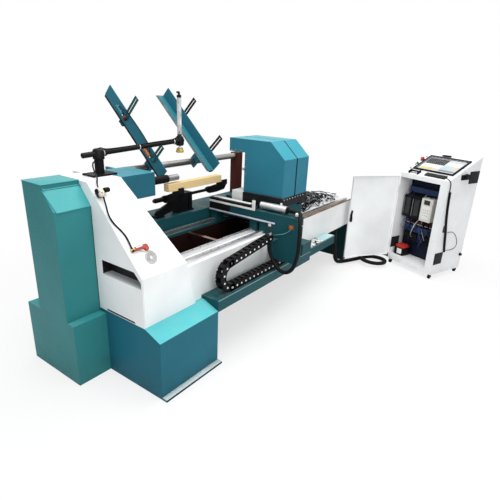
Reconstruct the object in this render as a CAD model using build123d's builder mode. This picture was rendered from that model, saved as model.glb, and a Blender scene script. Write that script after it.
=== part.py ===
import os
from math import atan2, cos, degrees, dist, hypot, pi, radians, sin, tan

from build123d import *

os.makedirs("parts", exist_ok=True)

# A CNC wood lathe with its control cabinet, in mm.
# X runs along the bed to the tail end, Y to the back, Z up.
# The origin lies on the floor under the spindle axis, at the middle of the headstock base.

# Fits shared by all pieces
sheet = 4.0
running_gap = 0.05
seat_gap = 0.02
slide_gap = 0.4
belt_gap = 0.3

# Headstock base and pedestal
axis_height = 1161.0
base_length = 524.0
base_front = 729.0
base_back = 148.0
base_height = 447.0
base_shoulder = 52.0
foot_reach = 42.0
foot_thickness = 14.0
cover_front = 598.0
cover_wall = 318.0
side_top = 19.0
side_foot = 179.0
panel_thickness = 6.0

# Hand recess and slot in the end panel
recess_rear = 225.0
recess_front = 585.0
recess_low = 700.0
recess_high = 795.0
recess_slant = 55.0
recess_depth = 70.0
slot_front = 498.0
slot_rear = 230.0
slot_height = 6.0
slot_rise = 8.0

# Spindle box, spindle and drive
head_half = 148.0
head_below = 63.0
head_above = 99.0
head_wall = 42.0
head_side = 14.0
bearing_radius = 54.0
bearing_width = 34.0
shaft_radius = 25.0
chuck_radius = 30.0
chuck_start = 4.0
chuck_length = 246.0
nose_radius = 24.0
nose_length = 108.0
centre_length = 22.0
spindle_pulley_radius = 75.0
motor_pulley_radius = 60.0
pulley_width = 50.0
pulley_flange = 5.0
pulley_flange_lip = 7.0
pulley_inset = 110.0
belt_thickness = 8.0
belt_width = 46.0
motor_height = 215.0
motor_radius = 95.0
motor_length = 300.0
motor_flange = 16.0
motor_shaft_radius = 14.0
shaft_opening = 24.0

# Motor box and belt tower
tower_depth = 233.0
box_front = 230.0
box_back = 288.0
box_height = 425.0
tower_front = 166.0
tower_back = 139.0
lid_low_drop = 138.0
lid_high_drop = 21.0
lid_back = 68.0
lid_margin = 24.0
lid_thickness = 4.0
lid_overhang = 8.0
hinge_radius = 4.0
hinge_inset = 10.0
lug_width = 6.0

# Bed
bed_end = 2798.0
rail_seat = 720.0
beam_wall = 8.0
front_beam_front = 576.0
front_beam_back = 387.0
back_beam_front = 45.0
back_beam_back = 330.0
back_beam_top = 832.0
ledge_front = 30.0
ledge_thickness = 30.0
rail_width = 30.0
rail_height = 28.0
rail_end = 2700.0
front_rail = 531.0
middle_rail = 432.0
trough_floor = 480.0
trough_lip = 700.0
rib_count = 4
rib_first = 690.0
rib_pitch = 575.0
rib_width = 34.0
rib_height = 26.0
leg_length = 80.0
leg_depth = 120.0
leg_rise = 36.0

# Chain tray and drag chain
tray_end = 2150.0
tray_step = 39.0
tray_top = 470.0
tray_drop = 83.0
anchor_start = 1404.0
anchor_length = 153.0
anchor_height = 102.0
anchor_depth = 129.0
chain_front = 700.0
chain_width = 58.0
chain_height = 52.0
chain_wall = 6.0
chain_bend = 93.0
chain_left = 329.0
chain_lap = 8.0
chain_slope = 7.0
chain_rest = 1.0
bracket_reach = 112.0

# Carriage
carriage_start = 1034.0
carriage_length = 541.0
saddle_back = 27.0
saddle_front = 590.0
block_length = 100.0
block_inset = 20.0
block_side = 22.0
saddle_under = 812.0
saddle_plate = 25.0
cross_beam_front = 855.0
cross_beam_height = 68.0
cross_arm_width = 100.0
cross_beam_wall = 10.0
cross_rail_start = 196.0
cross_rail_width = 240.0
cross_rail_height = 20.0
apron_front = 870.0
apron_back = 630.0
apron_low = 535.0
apron_thickness = 10.0
apron_return = 70.0
cover_width = 90.0
cover_height = 24.0
cover_lip_height = 88.0
cover_lip = 452.0
cross_motor_x = 1098.0
cross_motor_front = 730.0
cross_motor_back = 464.0
cross_motor_radius = 30.0
cross_motor_cap = 16.0
motor_rest = 6.0

# Cross table, hood and tool
table_start = 126.0
table_end = 541.0
table_front = 625.0
table_back = 120.0
table_top = 1000.0
hood_start = 144.0
hood_gap = 14.0
hood_half_length = 191.0
hood_front = 621.0
hood_back = 230.0
hood_reach = 68.0
hood_top_rise = 276.0
hood_under_rise = 167.0
hood_chamfer_y = 140.0
hood_chamfer_z = 130.0
hood_sheet = 3.0
post_start = 300.0
post_length = 90.0
post_front = 215.0
post_back = 135.0
post_rise = 29.0
tool_width = 30.0
tool_height = 22.0
tool_reach = 50.0
tool_point = 26.0

# Tailstock
tail_start = 2050.0
tail_length = 280.0
tail_front = 70.0
tail_back = 38.0
tail_foot = 70.0
tail_barrel = 58.0
tail_web = 44.0
quill_radius = 30.0
quill_reach = 90.0
quill_length = 330.0
tail_centre = 60.0
tail_cylinder_radius = 42.0
tail_cylinder_length = 160.0

# Loader
loader_low_y = 45.0
loader_low_rise = 18.0
loader_run = 612.0
loader_rise = 594.0
loader_left = 521.0
loader_right = 1145.0
web_height = 100.0
web_thickness = 5.0
floor_left = 60.0
floor_right = 90.0
runner_width = 40.0
runner_depth = 20.0
gate_width = 44.0
gate_thickness = 6.0
gate_slot = 9.0
gate_upper_at = 565.0
gate_lower_at = 150.0
gate_upper_length = 210.0
gate_lower_left_length = 155.0
gate_lower_right_length = 210.0
gate_pin = 6.0
gate_cap = 4.0
gate_cylinder_radius = 13.0
gate_cylinder_length = 84.0
gate_cylinder_gap = 36.0
bar_y = 270.0
bar_rise = 45.0
bar_radius = 27.0
bar_start = -120.0
bar_end = 1740.0
post_at = 1718.0
post_side = 85.0
post_wall = 6.0
post_above = 32.0
bracket_thickness = 15.0
bracket_half = 40.0
bracket_below = 42.0
head_bracket_at = (-60.0, 200.0)

# Lifter and blank
lift_y = 135.0
lift_rise = 133.0
lift_shaft_radius = 13.0
lift_shaft_start = 489.0
lift_shaft_end = 1220.0
lift_arm_at = (600.0, 1130.0)
lift_arm_thickness = 24.0
lift_arm_width = 46.0
lift_boss = 28.0
lift_head_length = 56.0
lift_head_drop = 123.0
lift_head_lip = 16.0
lift_lip_thickness = 10.0
stand_at = (745.0, 845.0)
stand_length = (90.0, 40.0)
stand_depth = 80.0
stand_above = 26.0
stand_foot = 14.0
stand_foot_reach = 20.0
strut_start = 505.0
strut_rise = 18.0
strut_top = 100.0
strut_width = 26.0
blank_start = 487.0
blank_length = 620.0
blank_side = 58.0
blank_y = -15.0
blank_drop = 95.0
blank_round = 8.0

# Presser
presser_post_x = -64.0
presser_flange_length = 176.0
presser_flange_width = 120.0
presser_flange_thickness = 12.0
presser_post_radius = 29.0
presser_post_height = 88.0
spigot_radius = 19.0
spigot_height = 60.0
hub_radius = 36.0
hub_height = 66.0
arm_radius = 17.0
arm_left = 116.0
arm_right = 751.0
arm_left_rise = 28.6
arm_right_rise = 74.6
knuckle_half = 32.0
knuckle_low_rise = 35.6
knuckle_high_rise = 105.6
presser_offset = 716.0
cylinder_radius = 17.0
cylinder_length = 292.0
cylinder_bore = 12.0
cylinder_cap = 14.0
elbow_radius = 7.0
elbow_height = 18.0
rod_radius = 7.0
rod_low_rise = 15.6
piston_height = 20.0
piston_below_top = 16.0
pad_radius = 29.0
pad_height = 36.0
pad_neck = 24.0

# Air line
filter_x = -232.0
filter_down = 64.0
filter_rise = 30.0
filter_radius = 20.0
filter_height = 64.0
knob_radius = 15.0
knob_length = 44.0
filter_plate = 12.0
filter_plate_width = 36.0
gun_x = -175.0
gun_down = 470.0
gun_length = 120.0
gun_thickness = 20.0
gun_width = 26.0
gun_grip = 40.0
hose_radius = 5.0
gun_hose_radius = 4.5
gun_hose_turns = 3
gun_hose_outer = 40.0
gun_hose_pitch = 11.0

# Carriage conduit
conduit_radius = 16.0
cord_gap = 0.5

# Floor hose and its coil
cable_radius = 22.0
cable_drop_x = 2470.0
cable_drop_y = -552.0
cable_run = 498.0
cable_heading = -24.0
floor_rest = 0.5
coil_radius = 138.0
coil_turns = 1
coil_pitch = 48.0
tail_turns = 4
tail_lead = 55.0
tail_sag = 2.0

# Control cabinet, measured from the foot of its front left corner
cabinet_x = 3028.0
cabinet_y = -1004.0
cabinet_turn = -111.9
cabinet_width = 576.0
cabinet_depth = 504.0
cabinet_under = 54.0
cabinet_lip = 1057.0
cabinet_rise = 224.0
cabinet_sheet = 3.0
opening_left = 4.0
opening_right = 490.0
opening_low = 112.0
opening_high = 1010.0
door_open = 106.0
door_length = 572.0
door_start = 8.5
door_low = 102.0
door_high = 1020.0
door_thickness = 17.0
door_sheet = 2.0
door_axis_out = 9.0
door_gap = 1.0
knuckle_radius = 7.0
knuckle_height = 40.0
knuckle_at = (200.0, 880.0)
pin_radius = 4.0
handle_inset = 34.0
handle_height = 610.0
handle_radius = 7.0
handle_length = 96.0
handle_width = 18.0
handle_thickness = 12.0
handle_boss = 8.0
cam_length = 24.0
screen_left = 62.0
screen_right = 543.0
screen_near = 105.0
screen_far = 416.0
screen_thickness = 14.0
screen_frame = 18.0
screen_sink = 4.0
keys_left = 270.0
keys_right = 510.0
keys_near = 20.0
keys_far = 76.0
keys_thickness = 16.0
button_across = 32.0
stop_at = 311.0
stop_radius = 19.0
stop_height = 22.0
start_at = 223.0
start_radius = 9.0
start_height = 11.0
button_travel_gap = 6.0
stem_radius = 6.0
stem_length = 26.0
collar_radius = 11.0
collar_height = 4.0
plate_depth = 200.0
plate_thickness = 12.0
shelf_thickness = 12.0
drive_boxes = (
    (20.0, 120.0, 105.0, 565.0, 805.0),
    (128.0, 235.0, 105.0, 565.0, 805.0),
    (242.0, 400.0, 130.0, 570.0, 823.0),
    (40.0, 520.0, 60.0, 850.0, 905.0),
    (60.0, 420.0, 50.0, 400.0, 470.0),
)
transformer_left = 30.0
transformer_right = 150.0
transformer_near = 60.0
transformer_far = 180.0
transformer_height = 120.0
castor_radius = 25.0
castor_width = 18.0
castor_inset = 26.0
castor_pin = 4.0
castor_plate = 4.0
castor_cheek = 3.0
castor_play = 1.0

# Positions that follow from the sizes
base_x0 = -base_length / 2
base_x1 = base_length / 2
tower_x0 = base_x0 - tower_depth
head_bottom = axis_height - head_below
head_top = axis_height + head_above
pedestal_x0 = base_x0 + panel_thickness
wall_top = base_height + cover_wall
rail_top = rail_seat + rail_height
carriage_end = carriage_start + carriage_length
beam_low = saddle_under + saddle_plate
beam_top = beam_low + cross_beam_height
cross_rail_x0 = carriage_start + cross_rail_start
cross_rail_x1 = cross_rail_x0 + cross_rail_width
hub_low = head_top + presser_flange_thickness + presser_post_height + slide_gap
arm_left_z = hub_low + arm_left_rise
arm_right_z = hub_low + arm_right_rise
knuckle_low = hub_low + knuckle_low_rise
knuckle_high = hub_low + knuckle_high_rise
rod_low = hub_low + rod_low_rise
lid_low = head_top - lid_low_drop
lid_high = head_top - lid_high_drop
hood_top = axis_height + hood_top_rise
hood_under = axis_height + hood_under_rise
post_top = axis_height + post_rise
loader_low_z = axis_height + loader_low_rise
bar_z = axis_height + bar_rise
lift_z = back_beam_top + lift_rise
lift_head_low = axis_height - lift_head_drop
blank_low = axis_height - blank_drop
loader_length = hypot(loader_run, loader_rise)
slope_run = cover_front - head_half
slope_rise = head_top - wall_top

# Working planes
side_plane = Plane(
    origin=(side_foot, 0, base_height),
    z_dir=(head_top - base_height, 0, side_foot + side_top),
)
lid_run = tower_front - lid_back
lid_rise = lid_high - lid_low
lid_length = hypot(lid_run, lid_rise)
lid_plane = Plane(
    origin=((tower_x0 + base_x0) / 2, -(tower_front + lid_back) / 2, (lid_low + lid_high) / 2),
    x_dir=(1, 0, 0),
    z_dir=(0, -lid_rise, lid_run),
)
loader_plane = Plane(
    origin=(0, loader_low_y, loader_low_z),
    x_dir=(0, loader_run, loader_rise),
    z_dir=(1, 0, 0),
)
slope_plane = Plane(
    origin=(0, -head_half, head_top),
    x_dir=(1, 0, 0),
    z_dir=(0, -slope_rise, slope_run),
)
across = (cos(radians(cabinet_turn)), sin(radians(cabinet_turn)), 0)
inward = (-across[1], across[0], 0)
cabinet_plane = Plane(origin=(cabinet_x, cabinet_y, 0), x_dir=across, z_dir=(0, 0, 1))
cabinet_side = Plane(origin=(cabinet_x, cabinet_y, 0), x_dir=inward, z_dir=across)
console_plane = Plane(
    origin=(cabinet_x, cabinet_y, cabinet_lip),
    x_dir=across,
    z_dir=(-inward[0] * cabinet_rise, -inward[1] * cabinet_rise, cabinet_depth),
)
door_axis = cabinet_plane.from_local_coords(Vector(0, -door_axis_out, 0))
door_turn = radians(cabinet_turn - door_open)
door_plane = Plane(origin=door_axis, x_dir=(cos(door_turn), sin(door_turn), 0), z_dir=(0, 0, 1))

kept = []


def keep(part, label):
    """Label a finished piece and write its STEP file."""
    part.label = label
    export_step(part, f"parts/{label}.step")
    kept.append(label)


def block(x0, x1, y0, y1, z0, z1, mode=Mode.ADD):
    """A box between two corners."""
    with Locations(((x0 + x1) / 2, (y0 + y1) / 2, (z0 + z1) / 2)):
        Box(x1 - x0, y1 - y0, z1 - z0, mode=mode)


def rod_x(x0, x1, y, z, radius, mode=Mode.ADD):
    """A round bar along X."""
    with Locations(((x0 + x1) / 2, y, z)):
        Cylinder(radius, x1 - x0, rotation=(0, 90, 0), mode=mode)


def rod_y(y0, y1, x, z, radius, mode=Mode.ADD):
    """A round bar along Y."""
    with Locations((x, (y0 + y1) / 2, z)):
        Cylinder(radius, y1 - y0, rotation=(90, 0, 0), mode=mode)


def rod_z(z0, z1, x, y, radius, mode=Mode.ADD):
    """A round bar along Z."""
    with Locations((x, y, (z0 + z1) / 2)):
        Cylinder(radius, z1 - z0, mode=mode)


def profile_yz(points, x0, length):
    """A straight piece whose section is drawn in Y and Z."""
    with BuildPart() as piece:
        with BuildSketch(Plane.YZ.offset(x0)):
            with BuildLine():
                Polyline(*points, close=True)
            make_face()
        extrude(amount=length)
    return piece.part


def cord(points, radius, name):
    """A cord of straight runs joined by arcs, with its bend radii printed."""
    route = [Vector(*p) for p in points]
    bends = []
    for before, here, after in zip(route, route[1:], route[2:]):
        turn = radians((here - before).get_angle(after - here))
        run = min((here - before).length, (after - here).length)
        bends.append(0.45 * run / tan(turn / 2))
    print(name, "bend radii", [round(b) for b in bends])
    with BuildPart() as tube:
        with BuildLine() as path:
            FilletPolyline(*route, radius=bends)
        with BuildSketch(Plane(origin=route[0], z_dir=route[1] - route[0])):
            Circle(radius)
        sweep(path=path.wires()[0])
    print(name, "length", round(path.wires()[0].length))
    return tube.part


def self_gap(points, radius, skip):
    """The least gap between stretches of one tube that lie at least skip points apart."""
    least = min(
        dist(a, b)
        for i, a in enumerate(points)
        for b in points[i + skip:]
    )
    return least - 2 * radius


# Headstock base: a folded box on a foot plate
base_profile = (
    (-base_front, foot_thickness),
    (-base_front, base_height - base_shoulder),
    (-cover_front, base_height),
    (base_back, base_height),
    (base_back, foot_thickness),
)
with BuildPart() as headstock_base:
    add(profile_yz(base_profile, base_x0, base_length))
    offset(amount=-sheet, openings=headstock_base.faces().sort_by(Axis.Z)[0])
    block(base_x0, base_x1, -base_front - foot_reach, base_back, 0, foot_thickness)
    rod_x(base_x0, base_x0 + 2 * sheet, 0, motor_height, shaft_opening, Mode.SUBTRACT)
keep(headstock_base.part, "headstock_base")

# White pedestal: a sheet shell that rises to the spindle box, slanted in front and at its right side
pedestal_profile = (
    (-cover_front, base_height),
    (-cover_front, wall_top),
    (-head_half, head_top),
    (-head_half, head_bottom),
    (base_back, head_bottom),
    (base_back, base_height),
)
with BuildPart() as headstock_pedestal:
    add(profile_yz(pedestal_profile, pedestal_x0, side_foot - pedestal_x0))
    split(bisect_by=side_plane, keep=Keep.BOTTOM)
    pedestal_foot = headstock_pedestal.faces().sort_by(Axis.Z)[0]
    pedestal_end = headstock_pedestal.faces().sort_by(Axis.X)[0]
    offset(amount=-sheet, openings=[pedestal_foot, pedestal_end])
keep(headstock_pedestal.part, "headstock_pedestal")

# End panel with the pressed hand recess and the slot at its foot
recess_profile = (
    (-recess_rear, recess_low),
    (-recess_front, recess_low),
    (-recess_front, recess_high - recess_slant),
    (-recess_front + recess_slant, recess_high),
    (-recess_rear, recess_high),
)
with BuildPart() as end_panel:
    add(profile_yz(pedestal_profile, base_x0, panel_thickness))
    with BuildSketch(Plane.YZ.offset(base_x0)):
        with BuildLine():
            Polyline(*recess_profile, close=True)
        make_face()
        offset(amount=sheet)
    extrude(amount=recess_depth + sheet)
    with BuildSketch(Plane.YZ.offset(base_x0)):
        with BuildLine():
            Polyline(*recess_profile, close=True)
        make_face()
    extrude(amount=recess_depth, mode=Mode.SUBTRACT)
    block(base_x0 - sheet, base_x0 + panel_thickness, -slot_front, -slot_rear,
          base_height + slot_rise, base_height + slot_rise + slot_height, Mode.SUBTRACT)
keep(end_panel.part, "end_panel")

# Spindle box: a casting open below, with a bearing bore in each end wall
with BuildPart() as spindle_box:
    block(base_x0, base_x1, -head_half, head_half, head_bottom, head_top)
    block(base_x0 + head_wall, base_x1 - head_wall, -head_half + head_side, head_half - head_side,
          head_bottom, head_top - head_side, Mode.SUBTRACT)
    rod_x(base_x0, base_x1, 0, axis_height, bearing_radius, Mode.SUBTRACT)
    fillet(spindle_box.edges().filter_by(Axis.X).group_by(Axis.Z)[-1], sheet)
keep(spindle_box.part, "spindle_box")

with BuildPart() as spindle_bearings:
    for inner_end in (base_x0 + head_wall - bearing_width, base_x1 - head_wall):
        rod_x(inner_end, inner_end + bearing_width, 0, axis_height, bearing_radius - seat_gap)
    rod_x(base_x0, base_x1, 0, axis_height, shaft_radius + running_gap, Mode.SUBTRACT)
keep(spindle_bearings.part, "spindle_bearings")

# Spindle with its drive centre, and the black sleeve chuck on it
pulley_x = base_x0 - pulley_inset
chuck_x0 = base_x1 + chuck_start
chuck_x1 = chuck_x0 + chuck_length
nose_x1 = chuck_x1 + nose_length
with BuildPart() as spindle_shaft:
    rod_x(pulley_x - pulley_width, chuck_x1, 0, axis_height, shaft_radius)
    rod_x(chuck_x1, nose_x1, 0, axis_height, nose_radius)
    with Locations((nose_x1 + centre_length / 2, 0, axis_height)):
        Cone(nose_radius / 2, 1, centre_length, rotation=(0, 90, 0))
keep(spindle_shaft.part, "spindle_shaft")

with BuildPart() as spindle_chuck:
    rod_x(chuck_x0, chuck_x1, 0, axis_height, chuck_radius)
    rod_x(chuck_x0, chuck_x1, 0, axis_height, shaft_radius + seat_gap, Mode.SUBTRACT)
    chamfer(spindle_chuck.edges().filter_by(GeomType.CIRCLE).sort_by(Axis.X)[-1], 1.5)
keep(spindle_chuck.part, "spindle_chuck")


def pulley(height, radius, bore):
    """A flanged belt pulley on an X shaft."""
    half = pulley_width / 2
    with BuildPart() as wheel:
        rod_x(pulley_x - half, pulley_x + half, 0, height, radius)
        for side in (pulley_x - half - pulley_flange, pulley_x + half):
            rod_x(side, side + pulley_flange, 0, height, radius + pulley_flange_lip)
        rod_x(pulley_x - pulley_width, pulley_x + pulley_width, 0, height, bore, Mode.SUBTRACT)
    return wheel.part


keep(pulley(axis_height, spindle_pulley_radius, shaft_radius + seat_gap), "spindle_pulley")

# Motor on the base's end wall, its pulley and the belt up the tower
with BuildPart() as spindle_motor:
    rod_x(base_x0 + sheet, base_x0 + sheet + motor_flange, 0, motor_height, motor_radius + motor_flange)
    rod_x(base_x0 + sheet, base_x0 + sheet + motor_length, 0, motor_height, motor_radius)
    rod_x(pulley_x - pulley_width, base_x0 + sheet, 0, motor_height, motor_shaft_radius)
keep(spindle_motor.part, "spindle_motor")
keep(pulley(motor_height, motor_pulley_radius, motor_shaft_radius + running_gap), "motor_pulley")

with BuildPart() as drive_belt:
    belt_plane = Plane.YZ.offset(pulley_x - belt_width / 2)
    with BuildSketch(belt_plane):
        with Locations((0, axis_height)):
            Circle(spindle_pulley_radius + belt_gap + belt_thickness)
        with Locations((0, motor_height)):
            Circle(motor_pulley_radius + belt_gap + belt_thickness)
        make_hull()
    extrude(amount=belt_width)
    with BuildSketch(belt_plane):
        with Locations((0, axis_height)):
            Circle(spindle_pulley_radius + belt_gap)
        with Locations((0, motor_height)):
            Circle(motor_pulley_radius + belt_gap)
        make_hull()
    extrude(amount=belt_width, mode=Mode.SUBTRACT)
keep(drive_belt.part, "drive_belt")

# Motor box and belt tower, sheet shells open to each other
with BuildPart() as motor_box:
    block(tower_x0, base_x0, -box_front, box_back, 0, box_height)
    offset(amount=-sheet, openings=motor_box.faces().sort_by(Axis.Z)[0])
    block(tower_x0 + sheet, base_x0 - sheet, -tower_front + sheet, tower_back - sheet,
          box_height - 2 * sheet, box_height + sheet, Mode.SUBTRACT)
    rod_x(base_x0 - 2 * sheet, base_x0, 0, motor_height, shaft_opening, Mode.SUBTRACT)
keep(motor_box.part, "motor_box")

tower_profile = (
    (-tower_front, box_height),
    (-tower_front, lid_low),
    (-lid_back, lid_high),
    (-lid_back, head_top),
    (tower_back, head_top),
    (tower_back, box_height),
)
lug_outer = tower_depth / 2 - 2
with BuildPart(lid_plane, mode=Mode.PRIVATE) as lid_lugs:
    for hand in (-1, 1):
        with Locations((hand * (lug_outer - lug_width / 2), lid_length / 2 - hinge_inset, hinge_inset / 2 - 1)):
            Box(lug_width, 2 * hinge_inset, hinge_inset)
    with Locations((0, lid_length / 2 - hinge_inset, slide_gap + hinge_radius)):
        Cylinder(hinge_radius + running_gap, tower_depth, rotation=(0, 90, 0), mode=Mode.SUBTRACT)
with BuildPart() as belt_tower:
    add(profile_yz(tower_profile, tower_x0, tower_depth))
    offset(amount=-sheet, openings=belt_tower.faces().sort_by(Axis.Z)[0])
    with BuildSketch(lid_plane):
        Rectangle(tower_depth - 2 * lid_margin, lid_length - 2 * lid_margin)
    extrude(amount=-3 * sheet, mode=Mode.SUBTRACT)
    rod_x(base_x0 - 2 * sheet, base_x0, 0, axis_height, shaft_radius + shaft_opening, Mode.SUBTRACT)
    add(lid_lugs.part)
keep(belt_tower.part, "belt_tower")

lid_half = lug_outer - lug_width - 1
with BuildPart(lid_plane) as tower_lid:
    lid_bottom = -lid_length / 2 - lid_overhang
    lid_hinge = lid_length / 2 - hinge_inset
    block(-lid_half, lid_half, lid_bottom, lid_hinge, slide_gap, slide_gap + lid_thickness)
    rod_x(-lug_outer, lug_outer, lid_hinge, slide_gap + hinge_radius, hinge_radius)
keep(tower_lid.part, "tower_lid")


def box_beam(y0, y1, z0, z1, wall):
    """A welded box section from the pedestal's slanted side to the end of the bed."""
    with BuildPart() as beam:
        block(base_x0, bed_end, y0, y1, z0, z1)
        block(base_x0, bed_end - wall, y0 + wall, y1 - wall, z0 + wall, z1 - wall, Mode.SUBTRACT)
        split(bisect_by=side_plane, keep=Keep.TOP)
    return beam.part


# Bed beams, trough, rails and legs
keep(box_beam(-front_beam_front, -front_beam_back, base_height, rail_seat, beam_wall), "front_beam")

with BuildPart() as back_beam:
    add(box_beam(back_beam_front, back_beam_back, base_height, back_beam_top, beam_wall))
    with BuildPart(mode=Mode.PRIVATE) as ledge:
        block(base_x0, bed_end, -ledge_front, back_beam_front, rail_seat - ledge_thickness, rail_seat)
        split(bisect_by=side_plane, keep=Keep.TOP)
    add(ledge.part)
keep(back_beam.part, "back_beam")

with BuildPart() as chip_trough:
    block(base_x0, bed_end, -front_beam_back, -ledge_front, trough_floor, trough_lip)
    block(base_x0, bed_end - sheet, -front_beam_back + sheet, -ledge_front - sheet,
          trough_floor + sheet, trough_lip, Mode.SUBTRACT)
    for rib in range(rib_count):
        rib_x = rib_first + rib * rib_pitch
        block(rib_x, rib_x + rib_width, -front_beam_back, -ledge_front, trough_lip - rib_height, trough_lip)
    split(bisect_by=side_plane, keep=Keep.TOP)
keep(chip_trough.part, "chip_trough")

rail_lines = (-front_rail, -middle_rail, 0.0)
with BuildPart() as bed_rails:
    for rail_y in rail_lines:
        block(base_x0, rail_end, rail_y - rail_width / 2, rail_y + rail_width / 2, rail_seat, rail_top)
    split(bisect_by=side_plane, keep=Keep.TOP)
keep(bed_rails.part, "bed_rails")

leg_start = bed_end - leg_length
with BuildPart() as bed_legs:
    block(leg_start, bed_end, -front_beam_front, back_beam_back, leg_rise, base_height)
    block(leg_start + sheet, bed_end - sheet, -front_beam_front + sheet, back_beam_back - sheet,
          leg_rise + sheet, base_height - sheet, Mode.SUBTRACT)
    for foot_y in (-front_beam_front, back_beam_back - leg_depth):
        block(leg_start, bed_end, foot_y, foot_y + leg_depth, 0, leg_rise)
keep(bed_legs.part, "bed_legs")

# Chain tray: a top plate with a front skirt, narrower beyond the box that anchors the chain
anchor_end = anchor_start + anchor_length
tray_parts = ((base_x1, anchor_end, -base_front), (anchor_end, tray_end, -base_front + tray_step))
with BuildPart() as chain_tray:
    for part_start, part_end, part_front in tray_parts:
        block(part_start, part_end, part_front, -front_beam_front, tray_top - sheet, tray_top)
        block(part_start, part_end, part_front, part_front + sheet, tray_top - tray_drop, tray_top)
    block(base_x1, base_x1 + sheet, -base_front, -front_beam_front, tray_top - tray_drop, tray_top)
    block(anchor_start, anchor_end, -base_front, -base_front + anchor_depth, tray_top, tray_top + anchor_height)
    block(anchor_start + sheet, anchor_end - sheet, -base_front + sheet, -base_front + anchor_depth - sheet,
          tray_top - sheet, tray_top + anchor_height - sheet, Mode.SUBTRACT)
    block(anchor_end - sheet, anchor_end, -base_front, -base_front + tray_step + sheet,
          tray_top - tray_drop, tray_top)
keep(chain_tray.part, "chain_tray")

# Drag chain: lower run, bend and upper run, which rises to the carriage, as one hollow band
chain_low = tray_top + chain_rest + chain_height / 2
chain_x = chain_left + chain_bend + chain_height / 2
chain_y = -chain_front + chain_width / 2
chain_way = (cos(radians(chain_slope)), sin(radians(chain_slope)))
chain_top_x = chain_x - chain_bend * chain_way[1]
chain_top_z = chain_low + chain_bend + chain_bend * chain_way[0]
chain_bracket_x = carriage_start - bracket_reach
chain_end = chain_bracket_x + chain_lap
chain_lift = (chain_bracket_x - chain_top_x) * tan(radians(chain_slope))
chain_under = chain_top_z + chain_lift - chain_height / 2 / chain_way[0] - slide_gap
low_section = Plane(origin=(chain_x, chain_y, chain_low), x_dir=(0, 1, 0), z_dir=(1, 0, 0))
top_section = Plane(
    origin=(chain_top_x, chain_y, chain_top_z),
    x_dir=(0, 1, 0),
    z_dir=(chain_way[0], 0, chain_way[1]),
)
with BuildPart() as drag_chain:
    with BuildSketch(low_section) as chain_section:
        Rectangle(chain_width, chain_height)
        Rectangle(chain_width - 2 * chain_wall, chain_height - 2 * chain_wall, mode=Mode.SUBTRACT)
    with BuildSketch(top_section, mode=Mode.PRIVATE) as chain_upper:
        Rectangle(chain_width, chain_height)
        Rectangle(chain_width - 2 * chain_wall, chain_height - 2 * chain_wall, mode=Mode.SUBTRACT)
    bend_axis = Axis((chain_x, 0, chain_low + chain_bend), (0, 1, 0))
    extrude(chain_section.sketch, amount=anchor_start - chain_x)
    revolve(chain_section.sketch, axis=bend_axis, revolution_arc=180 - chain_slope)
    extrude(chain_upper.sketch, amount=(chain_end - chain_top_x) / chain_way[0])
keep(drag_chain.part, "drag_chain")

# Carriage saddle: shoes on the rails, plate, cross beam with its front arm and rail, and the way covers
with BuildPart() as carriage_saddle:
    block(carriage_start, carriage_end, -saddle_front, saddle_back, saddle_under, beam_low)
    block(carriage_start, carriage_end, -saddle_front, saddle_back, beam_low, beam_top)
    block(carriage_start + cross_beam_wall, carriage_end - cross_beam_wall,
          -saddle_front + cross_beam_wall, saddle_back, beam_low + cross_beam_wall,
          beam_top - cross_beam_wall, Mode.SUBTRACT)
    block(carriage_start, carriage_start + cross_arm_width, -cross_beam_front, -saddle_front, beam_low, beam_top)
    block(cross_rail_x0, cross_rail_x1, -saddle_front, 0, beam_top, beam_top + cross_rail_height)
    for rail_y in rail_lines:
        for shoe_x in (carriage_start + block_inset, carriage_end - block_inset - block_length):
            block(shoe_x, shoe_x + block_length, rail_y - rail_width / 2 - block_side,
                  min(rail_y + rail_width / 2 + block_side, saddle_back), rail_seat + 2 * slide_gap, saddle_under)
        block(carriage_start, carriage_end, rail_y - rail_width / 2 - slide_gap,
              rail_y + rail_width / 2 + slide_gap, rail_seat, rail_top + slide_gap, Mode.SUBTRACT)
    cover_top = beam_top + cover_height
    block(carriage_start, carriage_start + cover_width, -cover_lip, saddle_back, beam_top, cover_top)
    block(carriage_start, carriage_start + sheet, -cover_lip, -cover_lip + block_side,
          beam_top, beam_top + cover_lip_height)
keep(carriage_saddle.part, "carriage_saddle")

with BuildPart() as carriage_apron:
    block(carriage_start, carriage_start + apron_thickness, -apron_front, -apron_back, apron_low, beam_low)
    block(carriage_start, carriage_start + apron_return, -apron_front, -apron_front + apron_thickness,
          apron_low, beam_low)
    block(carriage_start, carriage_start + apron_return, -cross_beam_front - apron_thickness,
          -apron_back, beam_low - apron_thickness, beam_low)
    block(chain_bracket_x, carriage_start, -chain_front, -chain_front + chain_width,
          chain_under - sheet, chain_under)
keep(carriage_apron.part, "carriage_apron")

motor_z = beam_top + motor_rest + cross_motor_radius
with BuildPart() as cross_motor:
    rod_y(-cross_motor_front, -cross_motor_back, cross_motor_x, motor_z, cross_motor_radius)
    rod_y(-cross_motor_front - cross_motor_cap, -cross_motor_front, cross_motor_x, motor_z,
          cross_motor_radius - cross_motor_cap / 4)
    for foot_y in (-cross_motor_front + cross_motor_cap, -cross_motor_back - 2 * cross_motor_cap):
        block(cross_motor_x - cross_motor_radius, cross_motor_x + cross_motor_radius,
              foot_y, foot_y + cross_motor_cap, beam_top, motor_z)
keep(cross_motor.part, "cross_motor")

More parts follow.
